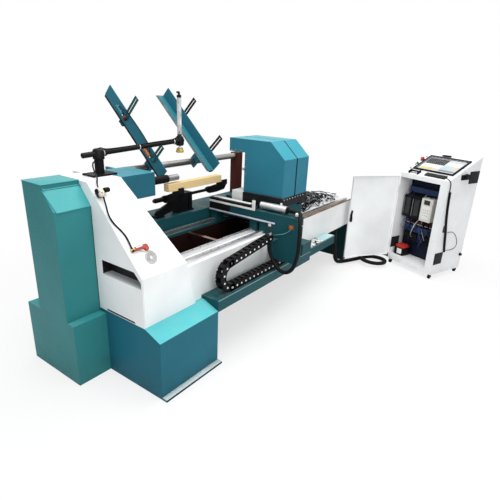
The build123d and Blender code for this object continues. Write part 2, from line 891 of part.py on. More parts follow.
# Cross table on its rail, with the hood in two halves and the tool post
table_x0 = carriage_start + table_start
table_x1 = carriage_start + table_end
with BuildPart() as cross_table:
    block(table_x0, table_x1, -table_front, -table_back, beam_top + slide_gap, table_top)
    block(cross_rail_x0 - slide_gap, cross_rail_x1 + slide_gap, -table_front, -table_back,
          beam_top, beam_top + cross_rail_height + slide_gap, Mode.SUBTRACT)
    table_wall = table_top - beam_top - cross_rail_height
    block(cross_rail_x1 + table_wall / 2, table_x1 - table_wall / 2, -table_front + table_wall / 2,
          -table_back - table_wall / 2, beam_top, table_top - table_wall / 4, Mode.SUBTRACT)
keep(cross_table.part, "cross_table")

hood_profile = (
    (-hood_front, table_top),
    (-hood_front, hood_top - hood_chamfer_z),
    (-hood_front + hood_chamfer_y, hood_top),
    (-hood_reach, hood_top),
    (-hood_reach, hood_under),
    (-hood_back, hood_under),
    (-hood_back, table_top),
)


def hood_half(x0):
    """One half of the hood, a folded shell open below."""
    with BuildPart() as half:
        add(profile_yz(hood_profile, x0, hood_half_length))
        offset(amount=-hood_sheet, openings=half.faces().sort_by(Axis.Z)[0])
    return half.part


hood_x0 = carriage_start + hood_start
with BuildPart() as tool_hood:
    add(hood_half(hood_x0))
    add(hood_half(hood_x0 + hood_half_length + hood_gap))
keep(tool_hood.part, "tool_hood")

post_x0 = carriage_start + post_start
tool_x = post_x0 + post_length / 2
with BuildPart() as tool_post:
    block(post_x0, post_x0 + post_length, -post_front, -post_back, table_top, post_top)
    block(tool_x - tool_width / 2, tool_x + tool_width / 2, -post_back, -post_back + tool_reach,
          axis_height - tool_height, axis_height)
    with BuildSketch(Plane.XY.offset(axis_height - tool_height)):
        with BuildLine():
            Polyline(
                (tool_x - tool_width / 2, -post_back + tool_reach),
                (tool_x + tool_width / 2, -post_back + tool_reach),
                (tool_x, -post_back + tool_reach + tool_point),
                close=True,
            )
        make_face()
    extrude(amount=tool_height)
keep(tool_post.part, "tool_post")

# Tailstock on the far rail, with its quill and centre
tail_end = tail_start + tail_length
with BuildPart() as tailstock_body:
    block(tail_start, tail_end, -tail_front, tail_back, rail_seat + 2 * slide_gap, rail_seat + tail_foot)
    block(tail_start, tail_end, -rail_width / 2 - slide_gap, rail_width / 2 + slide_gap,
          rail_seat, rail_top + slide_gap, Mode.SUBTRACT)
    block(tail_start + tail_web, tail_end - tail_web, -tail_web / 2, tail_web / 2,
          rail_seat + tail_foot, axis_height)
    rod_x(tail_start, tail_end, 0, axis_height, tail_barrel)
    rod_x(tail_end, tail_end + tail_cylinder_length, 0, axis_height, tail_cylinder_radius)
    rod_x(tail_start, tail_end + tail_cylinder_length - tail_web, 0, axis_height,
          quill_radius + running_gap, Mode.SUBTRACT)
keep(tailstock_body.part, "tailstock_body")

quill_x0 = tail_start - quill_reach
with BuildPart() as tail_quill:
    rod_x(quill_x0, quill_x0 + quill_length, 0, axis_height, quill_radius)
    with Locations((quill_x0 - tail_centre / 2, 0, axis_height)):
        Cone(1, quill_radius * 2 / 3, tail_centre, rotation=(0, 90, 0))
keep(tail_quill.part, "tail_quill")

# Loader bar, its post on the back beam and its brackets
with BuildPart() as loader_bar:
    rod_x(bar_start, bar_end, bar_y, bar_z, bar_radius)
    chamfer(loader_bar.edges().filter_by(GeomType.CIRCLE), 2)
keep(loader_bar.part, "loader_bar")

with BuildPart() as bar_post:
    post_x1 = post_at + post_side / 2
    block(post_x1 - post_side, post_x1, bar_y - post_side / 2, bar_y + post_side / 2,
          back_beam_top, bar_z + post_above)
    block(post_x1 - post_side + post_wall, post_x1 - post_wall, bar_y - post_side / 2 + post_wall,
          bar_y + post_side / 2 - post_wall, back_beam_top, bar_z + post_above - post_wall, Mode.SUBTRACT)
    rod_x(post_x1 - post_side, post_x1 - 2 * post_wall, bar_y, bar_z, bar_radius + seat_gap, Mode.SUBTRACT)
keep(bar_post.part, "bar_post")

bar_local = loader_plane.to_local_coords(Vector(0, bar_y, bar_z))
runner_under = -web_height / 2 - runner_depth
with BuildPart(loader_plane) as channel_brackets:
    for bracket_x in (loader_left + floor_left / 2, loader_right - floor_right / 2 - bracket_thickness):
        block(bar_local.X - bracket_half, bar_local.X + bracket_half, bar_local.Y - bracket_below,
              runner_under, bracket_x, bracket_x + bracket_thickness)
with BuildPart() as loader_brackets:
    add(channel_brackets.part)
    for bracket_x in head_bracket_at:
        block(bracket_x, bracket_x + bracket_thickness, head_half, bar_y + bracket_half,
              bar_z - bracket_half, bar_z + bracket_half)
    rod_x(bar_start, bar_end, bar_y, bar_z, bar_radius + seat_gap, Mode.SUBTRACT)
keep(loader_brackets.part, "loader_brackets")

# Slanted channels: angle sections with a runner below and the fingers' pins on the outer face
half_web = web_height / 2
loader_sides = ((loader_left, 1), (loader_right, -1))
floor_edges = (loader_left + floor_left, loader_right - floor_right)
with BuildPart(loader_plane) as loader_channels:
    for (web_x, inner), floor_in in zip(loader_sides, floor_edges):
        web_in = web_x + inner * web_thickness
        block(0, loader_length, -half_web, half_web, min(web_x, web_in), max(web_x, web_in))
        block(0, loader_length, -half_web, -half_web + web_thickness, min(web_x, floor_in), max(web_x, floor_in))
        runner_in = web_x + inner * (runner_width + web_thickness)
        block(web_height / 4, loader_length, runner_under, -half_web,
              min(web_in, runner_in), max(web_in, runner_in))
        pin_out = web_x - inner * (gate_thickness + 2 * slide_gap + gate_cap)
        for gate_at in (gate_upper_at, gate_lower_at):
            with Locations((gate_at, 0, (web_x + pin_out) / 2)):
                Cylinder(gate_pin, abs(web_x - pin_out))
            with Locations((gate_at, 0, pin_out + inner * gate_cap / 2)):
                Cylinder(gate_pin * 2, gate_cap)
keep(loader_channels.part, "loader_channels")


def gate_pair(gate_at, lengths):
    """Two slotted stop fingers that turn together on the channels' outer faces."""
    with BuildPart(loader_plane) as pair:
        for (web_x, inner), length in zip(loader_sides, lengths):
            face = web_x - inner * slide_gap
            back = face - inner * gate_thickness
            x0 = min(face, back)
            block(gate_at - gate_width / 2, gate_at + gate_width / 2, 0, length, x0, x0 + gate_thickness)
            with Locations((gate_at, 0, x0 + gate_thickness / 2)):
                Cylinder(gate_width / 2, gate_thickness)
                Cylinder(gate_pin + running_gap, gate_thickness, mode=Mode.SUBTRACT)
            block(gate_at - gate_slot / 2, gate_at + gate_slot / 2, gate_width, length - gate_slot,
                  x0, x0 + gate_thickness, Mode.SUBTRACT)
    return pair.part


keep(gate_pair(gate_upper_at, (gate_upper_length, gate_upper_length)), "gate_upper")
keep(gate_pair(gate_lower_at, (gate_lower_left_length, gate_lower_right_length)), "gate_lower")

with BuildPart(loader_plane) as gate_cylinders:
    for web_x, inner in loader_sides:
        centre = web_x - inner * (gate_cylinder_radius + web_thickness)
        for gate_at in (gate_upper_at, gate_lower_at):
            start = gate_at + gate_cylinder_gap
            rod_x(start, start + gate_cylinder_length, 0, centre, gate_cylinder_radius)
            block(start + web_thickness, start + gate_cylinder_length - web_thickness, -web_thickness,
                  web_thickness, min(web_x, centre), max(web_x, centre))
keep(gate_cylinders.part, "gate_cylinders")

# Lifter stand: two bearing columns on the back beam, a foot and a strut
stand_top = lift_z + stand_above
with BuildPart() as lifter_stand:
    for stand_x, length in zip(stand_at, stand_length):
        block(stand_x, stand_x + length, lift_y - stand_depth / 2, lift_y + stand_depth / 2,
              back_beam_top, stand_top)
        block(stand_x - stand_foot_reach, stand_x + length + stand_foot_reach, lift_y - stand_depth / 2,
              lift_y + stand_depth / 2, back_beam_top, back_beam_top + stand_foot)
    rod_x(stand_at[0], stand_at[1] + stand_length[1], lift_y, lift_z,
          lift_shaft_radius + running_gap, Mode.SUBTRACT)
    block(strut_start - stand_foot_reach, strut_start + 3 * stand_foot_reach, lift_y - stand_depth / 2,
          lift_y + stand_depth / 2, back_beam_top, back_beam_top + stand_foot)
    with BuildSketch(Plane.XZ.offset(-lift_y - strut_width / 2)):
        with BuildLine():
            Polyline(
                (strut_start, back_beam_top + stand_foot),
                (strut_start, back_beam_top + stand_foot + strut_rise),
                (stand_at[0], back_beam_top + strut_top),
                (stand_at[0], back_beam_top + strut_top - 2 * strut_width),
                (strut_start + 2 * stand_foot_reach, back_beam_top + stand_foot),
                close=True,
            )
        make_face()
    extrude(amount=strut_width)
keep(lifter_stand.part, "lifter_stand")

# Lift rocker: a shaft with two arms whose heads cradle the blank
head_half_width = blank_side / 2 + lift_lip_thickness
arm_profile = (
    (lift_y + lift_boss, lift_z - lift_boss / 2),
    (lift_y + lift_boss, lift_z + lift_boss / 2),
    (blank_y + blank_side / 2, lift_head_low),
    (blank_y - blank_side / 2, lift_head_low),
    (blank_y, lift_head_low - lift_arm_width),
    (lift_y - lift_boss, lift_z - lift_boss),
)
with BuildPart() as lift_rocker:
    rod_x(lift_shaft_start, lift_shaft_end, lift_y, lift_z, lift_shaft_radius)
    for arm_x in lift_arm_at:
        add(profile_yz(arm_profile, arm_x, lift_arm_thickness))
        rod_x(arm_x, arm_x + lift_arm_thickness, lift_y, lift_z, lift_boss)
        head_x = arm_x + (lift_arm_thickness - lift_head_length) / 2
        block(head_x, head_x + lift_head_length, blank_y - head_half_width, blank_y + head_half_width,
              lift_head_low, blank_low + lift_head_lip)
        block(head_x, head_x + lift_head_length, blank_y - blank_side / 2, blank_y + blank_side / 2,
              blank_low, blank_low + blank_side, Mode.SUBTRACT)
keep(lift_rocker.part, "lift_rocker")

with BuildPart() as work_blank:
    block(blank_start, blank_start + blank_length, blank_y - blank_side / 2, blank_y + blank_side / 2,
          blank_low, blank_low + blank_side)
    fillet(work_blank.faces().filter_by(Axis.X).edges(), blank_round)
keep(work_blank.part, "work_blank")

# Presser: flange and post on the spindle box, swinging arm, air cylinder and padded rod
post_top_z = hub_low - slide_gap
with BuildPart() as arm_post:
    block(presser_post_x - presser_flange_length / 2, presser_post_x + presser_flange_length / 2,
          -presser_flange_width / 2, presser_flange_width / 2, head_top, head_top + presser_flange_thickness)
    rod_z(head_top, post_top_z, presser_post_x, 0, presser_post_radius)
    rod_z(post_top_z, post_top_z + spigot_height, presser_post_x, 0, spigot_radius)
keep(arm_post.part, "arm_post")

arm_x0 = presser_post_x - arm_left
arm_x1 = presser_post_x + arm_right
presser_x = presser_post_x + presser_offset
arm_vector = (arm_x1 - arm_x0, 0, arm_right_z - arm_left_z)
arm_plane = Plane(origin=(arm_x0, 0, arm_left_z), z_dir=arm_vector)
with BuildPart() as presser_arm:
    with BuildSketch(arm_plane):
        Circle(arm_radius)
    extrude(amount=hypot(*arm_vector))
    rod_z(hub_low, hub_low + hub_height, presser_post_x, 0, hub_radius)
    block(presser_x - knuckle_half, presser_x + knuckle_half, -knuckle_half, knuckle_half, knuckle_low, knuckle_high)
    rod_z(hub_low, hub_low + spigot_height, presser_post_x, 0, spigot_radius + running_gap, Mode.SUBTRACT)
    rod_z(knuckle_low, knuckle_high, presser_x, 0, rod_radius + running_gap, Mode.SUBTRACT)
keep(presser_arm.part, "presser_arm")

cylinder_top = knuckle_high + cylinder_length
bore_radius = cylinder_bore + running_gap
with BuildPart() as presser_cylinder:
    rod_z(knuckle_high, cylinder_top, presser_x, 0, cylinder_radius)
    rod_z(knuckle_high + cylinder_cap, cylinder_top - cylinder_cap, presser_x, 0, bore_radius, Mode.SUBTRACT)
    rod_z(knuckle_high, knuckle_high + cylinder_cap, presser_x, 0, rod_radius + running_gap, Mode.SUBTRACT)
    rod_z(cylinder_top, cylinder_top + elbow_height, presser_x, 0, elbow_radius)
    rod_y(0, 3 * elbow_radius, presser_x, cylinder_top + elbow_height, elbow_radius)
keep(presser_cylinder.part, "presser_cylinder")

piston_top = cylinder_top - cylinder_cap - piston_below_top
with BuildPart() as presser_rod:
    rod_z(rod_low, piston_top, presser_x, 0, rod_radius)
    rod_z(piston_top - piston_height, piston_top, presser_x, 0, cylinder_bore)
    rod_z(rod_low - pad_height, rod_low, presser_x, 0, pad_neck)
    rod_z(rod_low - pad_height, rod_low - pad_height / 2, presser_x, 0, pad_radius)
    fillet(presser_rod.edges().filter_by(GeomType.CIRCLE).group_by(Axis.Z)[0], sheet)
keep(presser_rod.part, "presser_rod")

# Air filter on the slanted cover, its hose, and the air gun with its own hose
with BuildPart(slope_plane) as air_filter:
    filter_end = -filter_down - filter_height
    block(filter_x - filter_plate_width / 2, filter_x + filter_plate_width / 2,
          filter_end + filter_plate, -filter_down - filter_plate, 0, filter_plate)
    rod_y(filter_end, -filter_down, filter_x, filter_rise, filter_radius)
    knob_y = -filter_down - filter_height / 3
    rod_x(filter_x, filter_x + filter_radius + knob_length, knob_y, filter_rise, knob_radius)
    rod_x(filter_x - filter_radius - knob_radius / 2, filter_x, knob_y, filter_rise, knob_radius)
keep(air_filter.part, "air_filter")


def on_slope(x, down, above):
    """A point over the slanted cover, given across, down the slope and above it."""
    point = slope_plane.from_local_coords(Vector(x, -down, above))
    return (point.X, point.Y, point.Z)


hose_above = hose_radius + floor_rest
hose_end_x = gun_x - gun_length / 2 + gun_width / 2
hose_start = filter_down + filter_height
hose_drop = (gun_down - hose_start) / 6
air_hose_points = (
    on_slope(filter_x, hose_start + cord_gap, filter_rise),
    on_slope(filter_x - 12, hose_start + hose_drop, filter_rise - 2),
    on_slope(filter_x - 19, hose_start + 2 * hose_drop, hose_above + 4),
    on_slope(filter_x - 10, hose_start + 3 * hose_drop, hose_above),
    on_slope(filter_x + 14, hose_start + 4 * hose_drop, hose_above),
    on_slope(hose_end_x + 12, hose_start + 5 * hose_drop, hose_above),
    on_slope(hose_end_x, gun_down - cord_gap, gun_thickness / 2),
)
keep(cord(air_hose_points, hose_radius, "air_hose"), "air_hose")

with BuildPart(slope_plane) as air_gun:
    block(gun_x - gun_length / 2, gun_x + gun_length / 2, -gun_down - gun_width, -gun_down, 0, gun_thickness)
    block(gun_x + gun_length / 2 - gun_width, gun_x + gun_length / 2, -gun_down - gun_grip, -gun_down,
          0, gun_thickness)
    fillet(air_gun.edges().filter_by(Axis((0, 0, 0), slope_plane.z_dir)), sheet)
keep(air_gun.part, "air_gun")

# White hose of the gun: half turns of shrinking radius, lying on the cover
spiral_x = gun_x + gun_length / 2 - gun_width / 2
spiral_start = gun_down + gun_grip + gun_hose_radius
spiral_points = []
with BuildPart() as gun_hose:
    with BuildLine(slope_plane.offset(gun_hose_radius + floor_rest)) as spiral:
        near = Vector(spiral_x, -spiral_start)
        for half_turn in range(2 * gun_hose_turns):
            bend = gun_hose_outer - half_turn * gun_hose_pitch / 2
            way = -1 if half_turn % 2 == 0 else 1
            far = near + Vector(0, way * 2 * bend)
            middle = near + Vector(-way * bend, way * bend)
            ThreePointArc((near.X, near.Y), (middle.X, middle.Y), (far.X, far.Y))
            near = far
    spiral_wire = spiral.wires()[0]
    with BuildSketch(Plane(origin=spiral_wire @ 0, z_dir=spiral_wire % 0)):
        Circle(gun_hose_radius)
    sweep(path=spiral_wire)
keep(gun_hose.part, "gun_hose")
spiral_points = [tuple(spiral_wire @ (i / 360)) for i in range(361)]
print("gun_hose length", round(spiral_wire.length))
print("gun_hose least gap to itself", round(self_gap(spiral_points, gun_hose_radius, 30), 2))

# Conduit loop in front of the apron, from the chain's end to the cross-feed motor
loop_x = chain_bracket_x + conduit_radius + sheet
loop_top = chain_under - sheet - cord_gap
cap_y = -cross_motor_front - cross_motor_cap - cord_gap
conduit_points = (
    (loop_x, chain_y, loop_top),
    (loop_x, chain_y, loop_top - 62),
    (loop_x, chain_y - 26, loop_top - 118),
    (loop_x, chain_y - 64, loop_top - 178),
    (loop_x, chain_y - 112, loop_top - 218),
    (loop_x, chain_y - 170, loop_top - 224),
    (loop_x, chain_y - 220, loop_top - 186),
    (loop_x, chain_y - 248, loop_top - 122),
    (loop_x, chain_y - 264, loop_top - 32),
    (loop_x, chain_y - 266, loop_top + 78),
    (loop_x + 8, chain_y - 256, loop_top + 170),
    (loop_x + 60, chain_y - 222, loop_top + 232),
    (cross_motor_x, cap_y - 100, motor_z),
    (cross_motor_x, cap_y, motor_z),
)
keep(cord(conduit_points, conduit_radius, "carriage_conduit"), "carriage_conduit")

# Hose from the front beam to the floor and along it, then its coil
heading = (cos(radians(cable_heading)), sin(radians(cable_heading)))
cable_z = cable_radius + floor_rest
hose_top = base_height - cord_gap


def hose_point(along, height):
    """A point of the floor hose, given along its heading and above the floor line."""
    return (cable_drop_x + along * heading[0], cable_drop_y + along * heading[1], cable_z + height)


cable_points = (
    hose_point(0, hose_top - cable_z),
    hose_point(0, hose_top - cable_z - 110),
    hose_point(22, 170),
    hose_point(52, 30),
    hose_point(130, 0),
    hose_point(cable_run, 0),
)
# The coil's end faces lean with its pitch, so the joint leaves room for that lean
coil_gap = cord_gap + cable_radius * coil_pitch / (2 * pi * coil_radius)
coil_start = hose_point(cable_run + coil_gap, 0)
coil_x = coil_start[0] + coil_radius * heading[1]
coil_y = coil_start[1] - coil_radius * heading[0]
coil_plane = Plane(
    origin=(coil_x, coil_y, cable_z),
    x_dir=(-heading[1], heading[0], 0),
    z_dir=(0, 0, 1),
)
with BuildPart() as cable_coil:
    with BuildLine() as coil:
        Helix(coil_pitch, coil_turns * coil_pitch, coil_radius, lefthand=True)
    coil_wire = coil.wires()[0]
    with BuildSketch(Plane(origin=coil_wire @ 0, z_dir=coil_wire % 0)):
        Circle(cable_radius)
    sweep(path=coil_wire, is_frenet=True)
keep(cable_coil.part.moved(coil_plane.location), "cable_coil")
coil_points = [tuple(coil_wire @ (i / 360)) for i in range(361)]
print("cable_coil length", round(coil_wire.length))
print("cable_coil least gap to itself", round(self_gap(coil_points, cable_radius, 60), 2))

# From the coil's upper end the hose turns into the cabinet's left side
hose_tail_start = hose_point(cable_run + 2 * coil_gap, coil_turns * coil_pitch)
tail_turn = (cabinet_turn - cable_heading) / tail_turns
tail_ways = [radians(cable_heading + i * tail_turn) for i in range(tail_turns + 1)]
tail_room = -cabinet_plane.to_local_coords(Vector(*hose_tail_start)).X - cord_gap
tail_runs = [cos(way - radians(cabinet_turn)) for way in tail_ways]
tail_step = (tail_room - tail_lead * tail_runs[0]) / sum(tail_runs)
tail_steps = [tail_step + tail_lead] + [tail_step] * tail_turns
print("control_hose tail step", round(tail_step, 2))
tail_drops = (0, tail_sag / 2, tail_sag, tail_sag, 0)
tail_points = [hose_tail_start]
for way, drop, step in zip(tail_ways, tail_drops, tail_steps):
    last = tail_points[-1]
    tail_z = hose_tail_start[2] - drop
    tail_points.append((last[0] + step * cos(way), last[1] + step * sin(way), tail_z))
tail_points[-1] = (tail_points[-1][0], tail_points[-1][1], tail_points[-2][2])
with BuildPart() as control_hose:
    add(cord(cable_points, cable_radius, "control_hose"))
    add(cord(tail_points, cable_radius, "control_hose tail"))
keep(control_hose.part, "control_hose")

# Control cabinet: a sheet shell with a sloped console top and a front opening
cabinet_profile = (
    (0, cabinet_under),
    (0, cabinet_lip),
    (cabinet_depth, cabinet_lip + cabinet_rise),
    (cabinet_depth, cabinet_under),
)
with BuildPart(cabinet_plane) as cabinet_hinges:
    for knuckle_z in knuckle_at:
        rod_z(knuckle_z, knuckle_z + knuckle_height, 0, -door_axis_out, knuckle_radius)
        block(-knuckle_radius, knuckle_radius, -door_axis_out, 0, knuckle_z, knuckle_z + knuckle_height)
        rod_z(knuckle_z, knuckle_z + knuckle_height, 0, -door_axis_out, pin_radius + running_gap, Mode.SUBTRACT)
with BuildPart(console_plane) as button_holes:
    for button_at in (stop_at, start_at):
        with Locations((button_across, button_at, 0)):
            Cylinder(stem_radius + slide_gap, 6 * cabinet_sheet)
with BuildPart(cabinet_plane) as cabinet_front:
    block(0, cabinet_width, 0, cabinet_sheet, cabinet_under, cabinet_lip)
    block(opening_left, opening_right, 0, cabinet_sheet, opening_low, opening_high, Mode.SUBTRACT)
with BuildPart() as cabinet_body:
    with BuildSketch(cabinet_side):
        with BuildLine():
            Polyline(*cabinet_profile, close=True)
        make_face()
    extrude(amount=cabinet_width)
    front_face = cabinet_body.faces().sort_by(Axis((0, 0, 0), inward))[0]
    offset(amount=-cabinet_sheet, openings=front_face)
    add(cabinet_front.part)
    add(cabinet_hinges.part)
    add(button_holes.part, mode=Mode.SUBTRACT)
keep(cabinet_body.part, "cabinet_body")

# Door, standing open, with its pins and its turning handle
door_inner = door_axis_out - door_gap
with BuildPart(door_plane) as cabinet_door:
    door_face = door_inner - door_thickness
    block(door_start, door_length, door_face, door_inner, door_low, door_high)
    block(door_start + door_sheet, door_length - door_sheet, door_face + door_sheet, door_inner,
          door_low + door_sheet, door_high - door_sheet, Mode.SUBTRACT)
    for knuckle_z, outward in zip(knuckle_at, (1, -1)):
        middle_z = knuckle_z + knuckle_height / 2
        own_z = middle_z + outward * (knuckle_height + 2 * slide_gap)
        rod_z(own_z - knuckle_height / 2, own_z + knuckle_height / 2, 0, 0, knuckle_radius)
        block(0, door_start + door_sheet, -knuckle_radius, door_inner, own_z - knuckle_height / 2,
              own_z + knuckle_height / 2)
        rod_z(min(middle_z, own_z) - knuckle_height / 2, max(middle_z, own_z) + knuckle_height / 2, 0, 0, pin_radius)
    handle_x = door_length - handle_inset
    boss_top = door_face + handle_boss
    block(handle_x - handle_width, handle_x + handle_width, door_face, boss_top,
          handle_height - handle_width, handle_height + handle_width)
    rod_y(door_face, boss_top, handle_x, handle_height, handle_radius + running_gap, Mode.SUBTRACT)
keep(cabinet_door.part, "cabinet_door")

with BuildPart(door_plane) as door_handle:
    cam_low = boss_top + slide_gap
    rod_y(door_face - handle_thickness, cam_low + sheet, handle_x, handle_height, handle_radius)
    block(handle_x - handle_width / 2, handle_x + handle_width / 2, door_face - handle_thickness,
          door_face - slide_gap, handle_height - handle_length + handle_width, handle_height + handle_width / 2)
    block(handle_x - handle_width / 2, handle_x + handle_width / 2, cam_low, cam_low + sheet,
          handle_height - handle_width / 2, handle_height + cam_length)
keep(door_handle.part, "door_handle")

# Console: framed screen with the keyboard below it, and the two buttons
with BuildPart(console_plane) as console_panel:
    block(screen_left, screen_right, screen_near, screen_far, 0, screen_thickness)
    block(screen_left + screen_frame, screen_right - screen_frame, screen_near + screen_frame,
          screen_far - screen_frame, screen_thickness - screen_sink, screen_thickness, Mode.SUBTRACT)
    block(keys_left, keys_right, keys_near, keys_far, 0, keys_thickness)
keep(console_panel.part, "console_panel")


def push_button(at, radius, height):
    """A round push button with its stem through the console and a collar behind."""
    with BuildPart(console_plane) as button:
        rod_z(button_travel_gap, button_travel_gap + height, button_across, at, radius)
        rod_z(-stem_length, button_travel_gap, button_across, at, stem_radius)
        rod_z(-stem_length, -stem_length + collar_height, button_across, at, collar_radius)
    return button.part


keep(push_button(stop_at, stop_radius, stop_height), "stop_button")
keep(push_button(start_at, start_radius, start_height), "start_button")

# Equipment inside: a shelf level with the opening, the mounting plate on it with drives, inverter,
# trunking and terminals (left, right, depth, low and high of each), and a transformer on the shelf
inside_back = cabinet_depth - cabinet_sheet
with BuildPart(cabinet_plane) as cabinet_equipment:
    block(cabinet_sheet, cabinet_width - cabinet_sheet, cabinet_sheet, inside_back,
          opening_low - shelf_thickness, opening_low)
    block(4 * cabinet_sheet, cabinet_width - 4 * cabinet_sheet, plate_depth, plate_depth + plate_thickness,
          opening_low, opening_high)
    for left, right, depth, low, high in drive_boxes:
        block(left, right, plate_depth - depth, plate_depth, low, high)
    block(transformer_left, transformer_right, transformer_near, transformer_far,
          opening_low, opening_low + transformer_height)
keep(cabinet_equipment.part, "cabinet_equipment")

# Castors: fixed forks with axle pins, and the wheels on a common line front and rear
castor_lines = (castor_inset, cabinet_depth - castor_inset)
castor_rows = (castor_inset, cabinet_width - castor_inset)
cheek_inner = castor_width / 2 + castor_play
with BuildPart(cabinet_plane) as castor_forks:
    for castor_d in castor_lines:
        for castor_w in castor_rows:
            block(castor_w - castor_width, castor_w + castor_width, castor_d - castor_width,
                  castor_d + castor_width, cabinet_under - castor_plate, cabinet_under)
            for hand in (-1, 1):
                cheek_x = castor_w + hand * (cheek_inner + castor_cheek / 2)
                block(cheek_x - castor_cheek / 2, cheek_x + castor_cheek / 2, castor_d - castor_width / 2,
                      castor_d + castor_width / 2, castor_radius - 2 * castor_pin, cabinet_under - castor_plate)
            rod_x(castor_w - cheek_inner - castor_cheek, castor_w + cheek_inner + castor_cheek,
                  castor_d, castor_radius, castor_pin)
keep(castor_forks.part, "castor_forks")


def castor_wheels(castor_d):
    """Two wheels on one line across the cabinet."""
    with BuildPart(cabinet_plane) as wheels:
        for castor_w in castor_rows:
            rod_x(castor_w - castor_width / 2, castor_w + castor_width / 2, castor_d, castor_radius, castor_radius)
        rod_x(0, cabinet_width, castor_d, castor_radius, castor_pin + running_gap, Mode.SUBTRACT)
        fillet(wheels.edges().filter_by(GeomType.CIRCLE).filter_by(lambda e: e.radius > 2 * castor_pin), castor_cheek)
    return wheels.part


for castor_d, place in zip(castor_lines, ("front", "rear")):
    keep(castor_wheels(castor_d), f"castor_wheels_{place}")

print(len(kept), "pieces kept")
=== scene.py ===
import math
import random

import bmesh
import bpy
from mathutils import Matrix, Vector


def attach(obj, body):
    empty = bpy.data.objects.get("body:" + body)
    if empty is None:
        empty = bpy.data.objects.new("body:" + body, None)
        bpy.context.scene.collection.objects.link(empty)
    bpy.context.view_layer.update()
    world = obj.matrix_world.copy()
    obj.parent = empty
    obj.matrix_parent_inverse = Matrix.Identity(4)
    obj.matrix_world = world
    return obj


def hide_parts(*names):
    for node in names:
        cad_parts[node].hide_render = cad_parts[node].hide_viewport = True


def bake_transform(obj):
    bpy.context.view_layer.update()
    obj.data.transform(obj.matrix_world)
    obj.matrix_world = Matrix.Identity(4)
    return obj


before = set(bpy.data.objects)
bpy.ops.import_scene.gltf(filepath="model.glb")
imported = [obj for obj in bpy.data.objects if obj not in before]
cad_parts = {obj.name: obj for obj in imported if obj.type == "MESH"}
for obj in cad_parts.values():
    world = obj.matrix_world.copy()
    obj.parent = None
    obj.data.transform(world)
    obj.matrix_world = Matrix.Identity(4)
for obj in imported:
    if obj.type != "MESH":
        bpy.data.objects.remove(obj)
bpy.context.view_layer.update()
scene = bpy.context.scene
scene.view_settings.view_transform = "Standard"


# ---------------------------------------------------------------- finishes

def shade(colour, times):
    """A colour made lighter or darker."""
    return tuple(min(1.0, part * times) for part in colour[:3]) + (1.0,)


def wired(tree, kind, wires=None, **fields):
    """One node of a tree, with its fields set and its sockets fed; a list feeds one socket several times."""
    node = tree.nodes.new(kind)
    for field, value in fields.items():
        setattr(node, field, value)
    for socket, value in (wires or {}).items():
        for one in value if isinstance(value, list) else [value]:
            if hasattr(one, "is_linked"):
                tree.links.new(one, node.inputs[socket])
            else:
                node.inputs[socket].default_value = one
    return node


class Finish:
    """A procedural finish: one shader fed by patterns on the piece's own coordinates."""

    def __init__(self, name, rough=0.5, metal=0.0, gloss=0.3):
        self.material = bpy.data.materials.new(name)
        self.material.use_nodes = True
        self.tree = self.material.node_tree
        self.shader = self.tree.nodes["Principled BSDF"]
        self.shader.inputs["Roughness"].default_value = rough
        self.shader.inputs["Metallic"].default_value = metal
        self.shader.inputs["Specular IOR Level"].default_value = gloss
        self.coords = self.put("ShaderNodeTexCoord").outputs["Object"]

    def put(self, kind, wires=None, **fields):
        return wired(self.tree, kind, wires, **fields)

    def scaled(self, scale, turn=(0, 0, 0), shift=(0, 0, 0)):
        wires = {"Vector": self.coords, "Scale": scale, "Rotation": turn, "Location": shift}
        return self.put("ShaderNodeMapping", wires).outputs["Vector"]

    def noise(self, scale, detail=3.0, vector=None):
        wires = {"Vector": vector or self.coords, "Scale": scale, "Detail": detail}
        return self.put("ShaderNodeTexNoise", wires).outputs["Fac"]

    def between(self, value, low, high, to_low=0.0, to_high=1.0):
        wires = {"Value": value, "From Min": low, "From Max": high, "To Min": to_low, "To Max": to_high}
        return self.put("ShaderNodeMapRange", wires).outputs["Result"]

    def times(self, a, b):
        return self.put("ShaderNodeMath", {0: a, 1: b}, operation="MULTIPLY").outputs[0]

    def mix(self, factor, a, b):
        return self.put("ShaderNodeMix", {0: factor, 6: a, 7: b}, data_type="RGBA").outputs[2]

    def axis(self, which, vector=None):
        return self.put("ShaderNodeSeparateXYZ", {0: vector or self.coords}).outputs[which]

    def facing_up(self, low=0.55, high=0.95):
        normal = self.put("ShaderNodeNewGeometry").outputs["Normal"]
        return self.between(self.axis("Z", normal), low, high)

    def bump(self, height, strength, distance=0.001, edge=0.0):
        wires = {"Height": height, "Strength": strength, "Distance": distance}
        node = self.put("ShaderNodeBump", wires)
        if edge:
            soft = self.put("ShaderNodeBevel", {"Radius": edge}, samples=4)
            self.tree.links.new(soft.outputs[0], node.inputs["Normal"])
        self.tree.links.new(node.outputs[0], self.shader.inputs["Normal"])

    def colour(self, tone):
        self.tree.links.new(tone, self.shader.inputs["Base Color"])
        return self.material

    def roughness(self, value):
        self.tree.links.new(value, self.shader.inputs["Roughness"])


SAWDUST = (0.66, 0.53, 0.36, 1.0)
SHOP_DIRT = (0.05, 0.045, 0.04, 1.0)


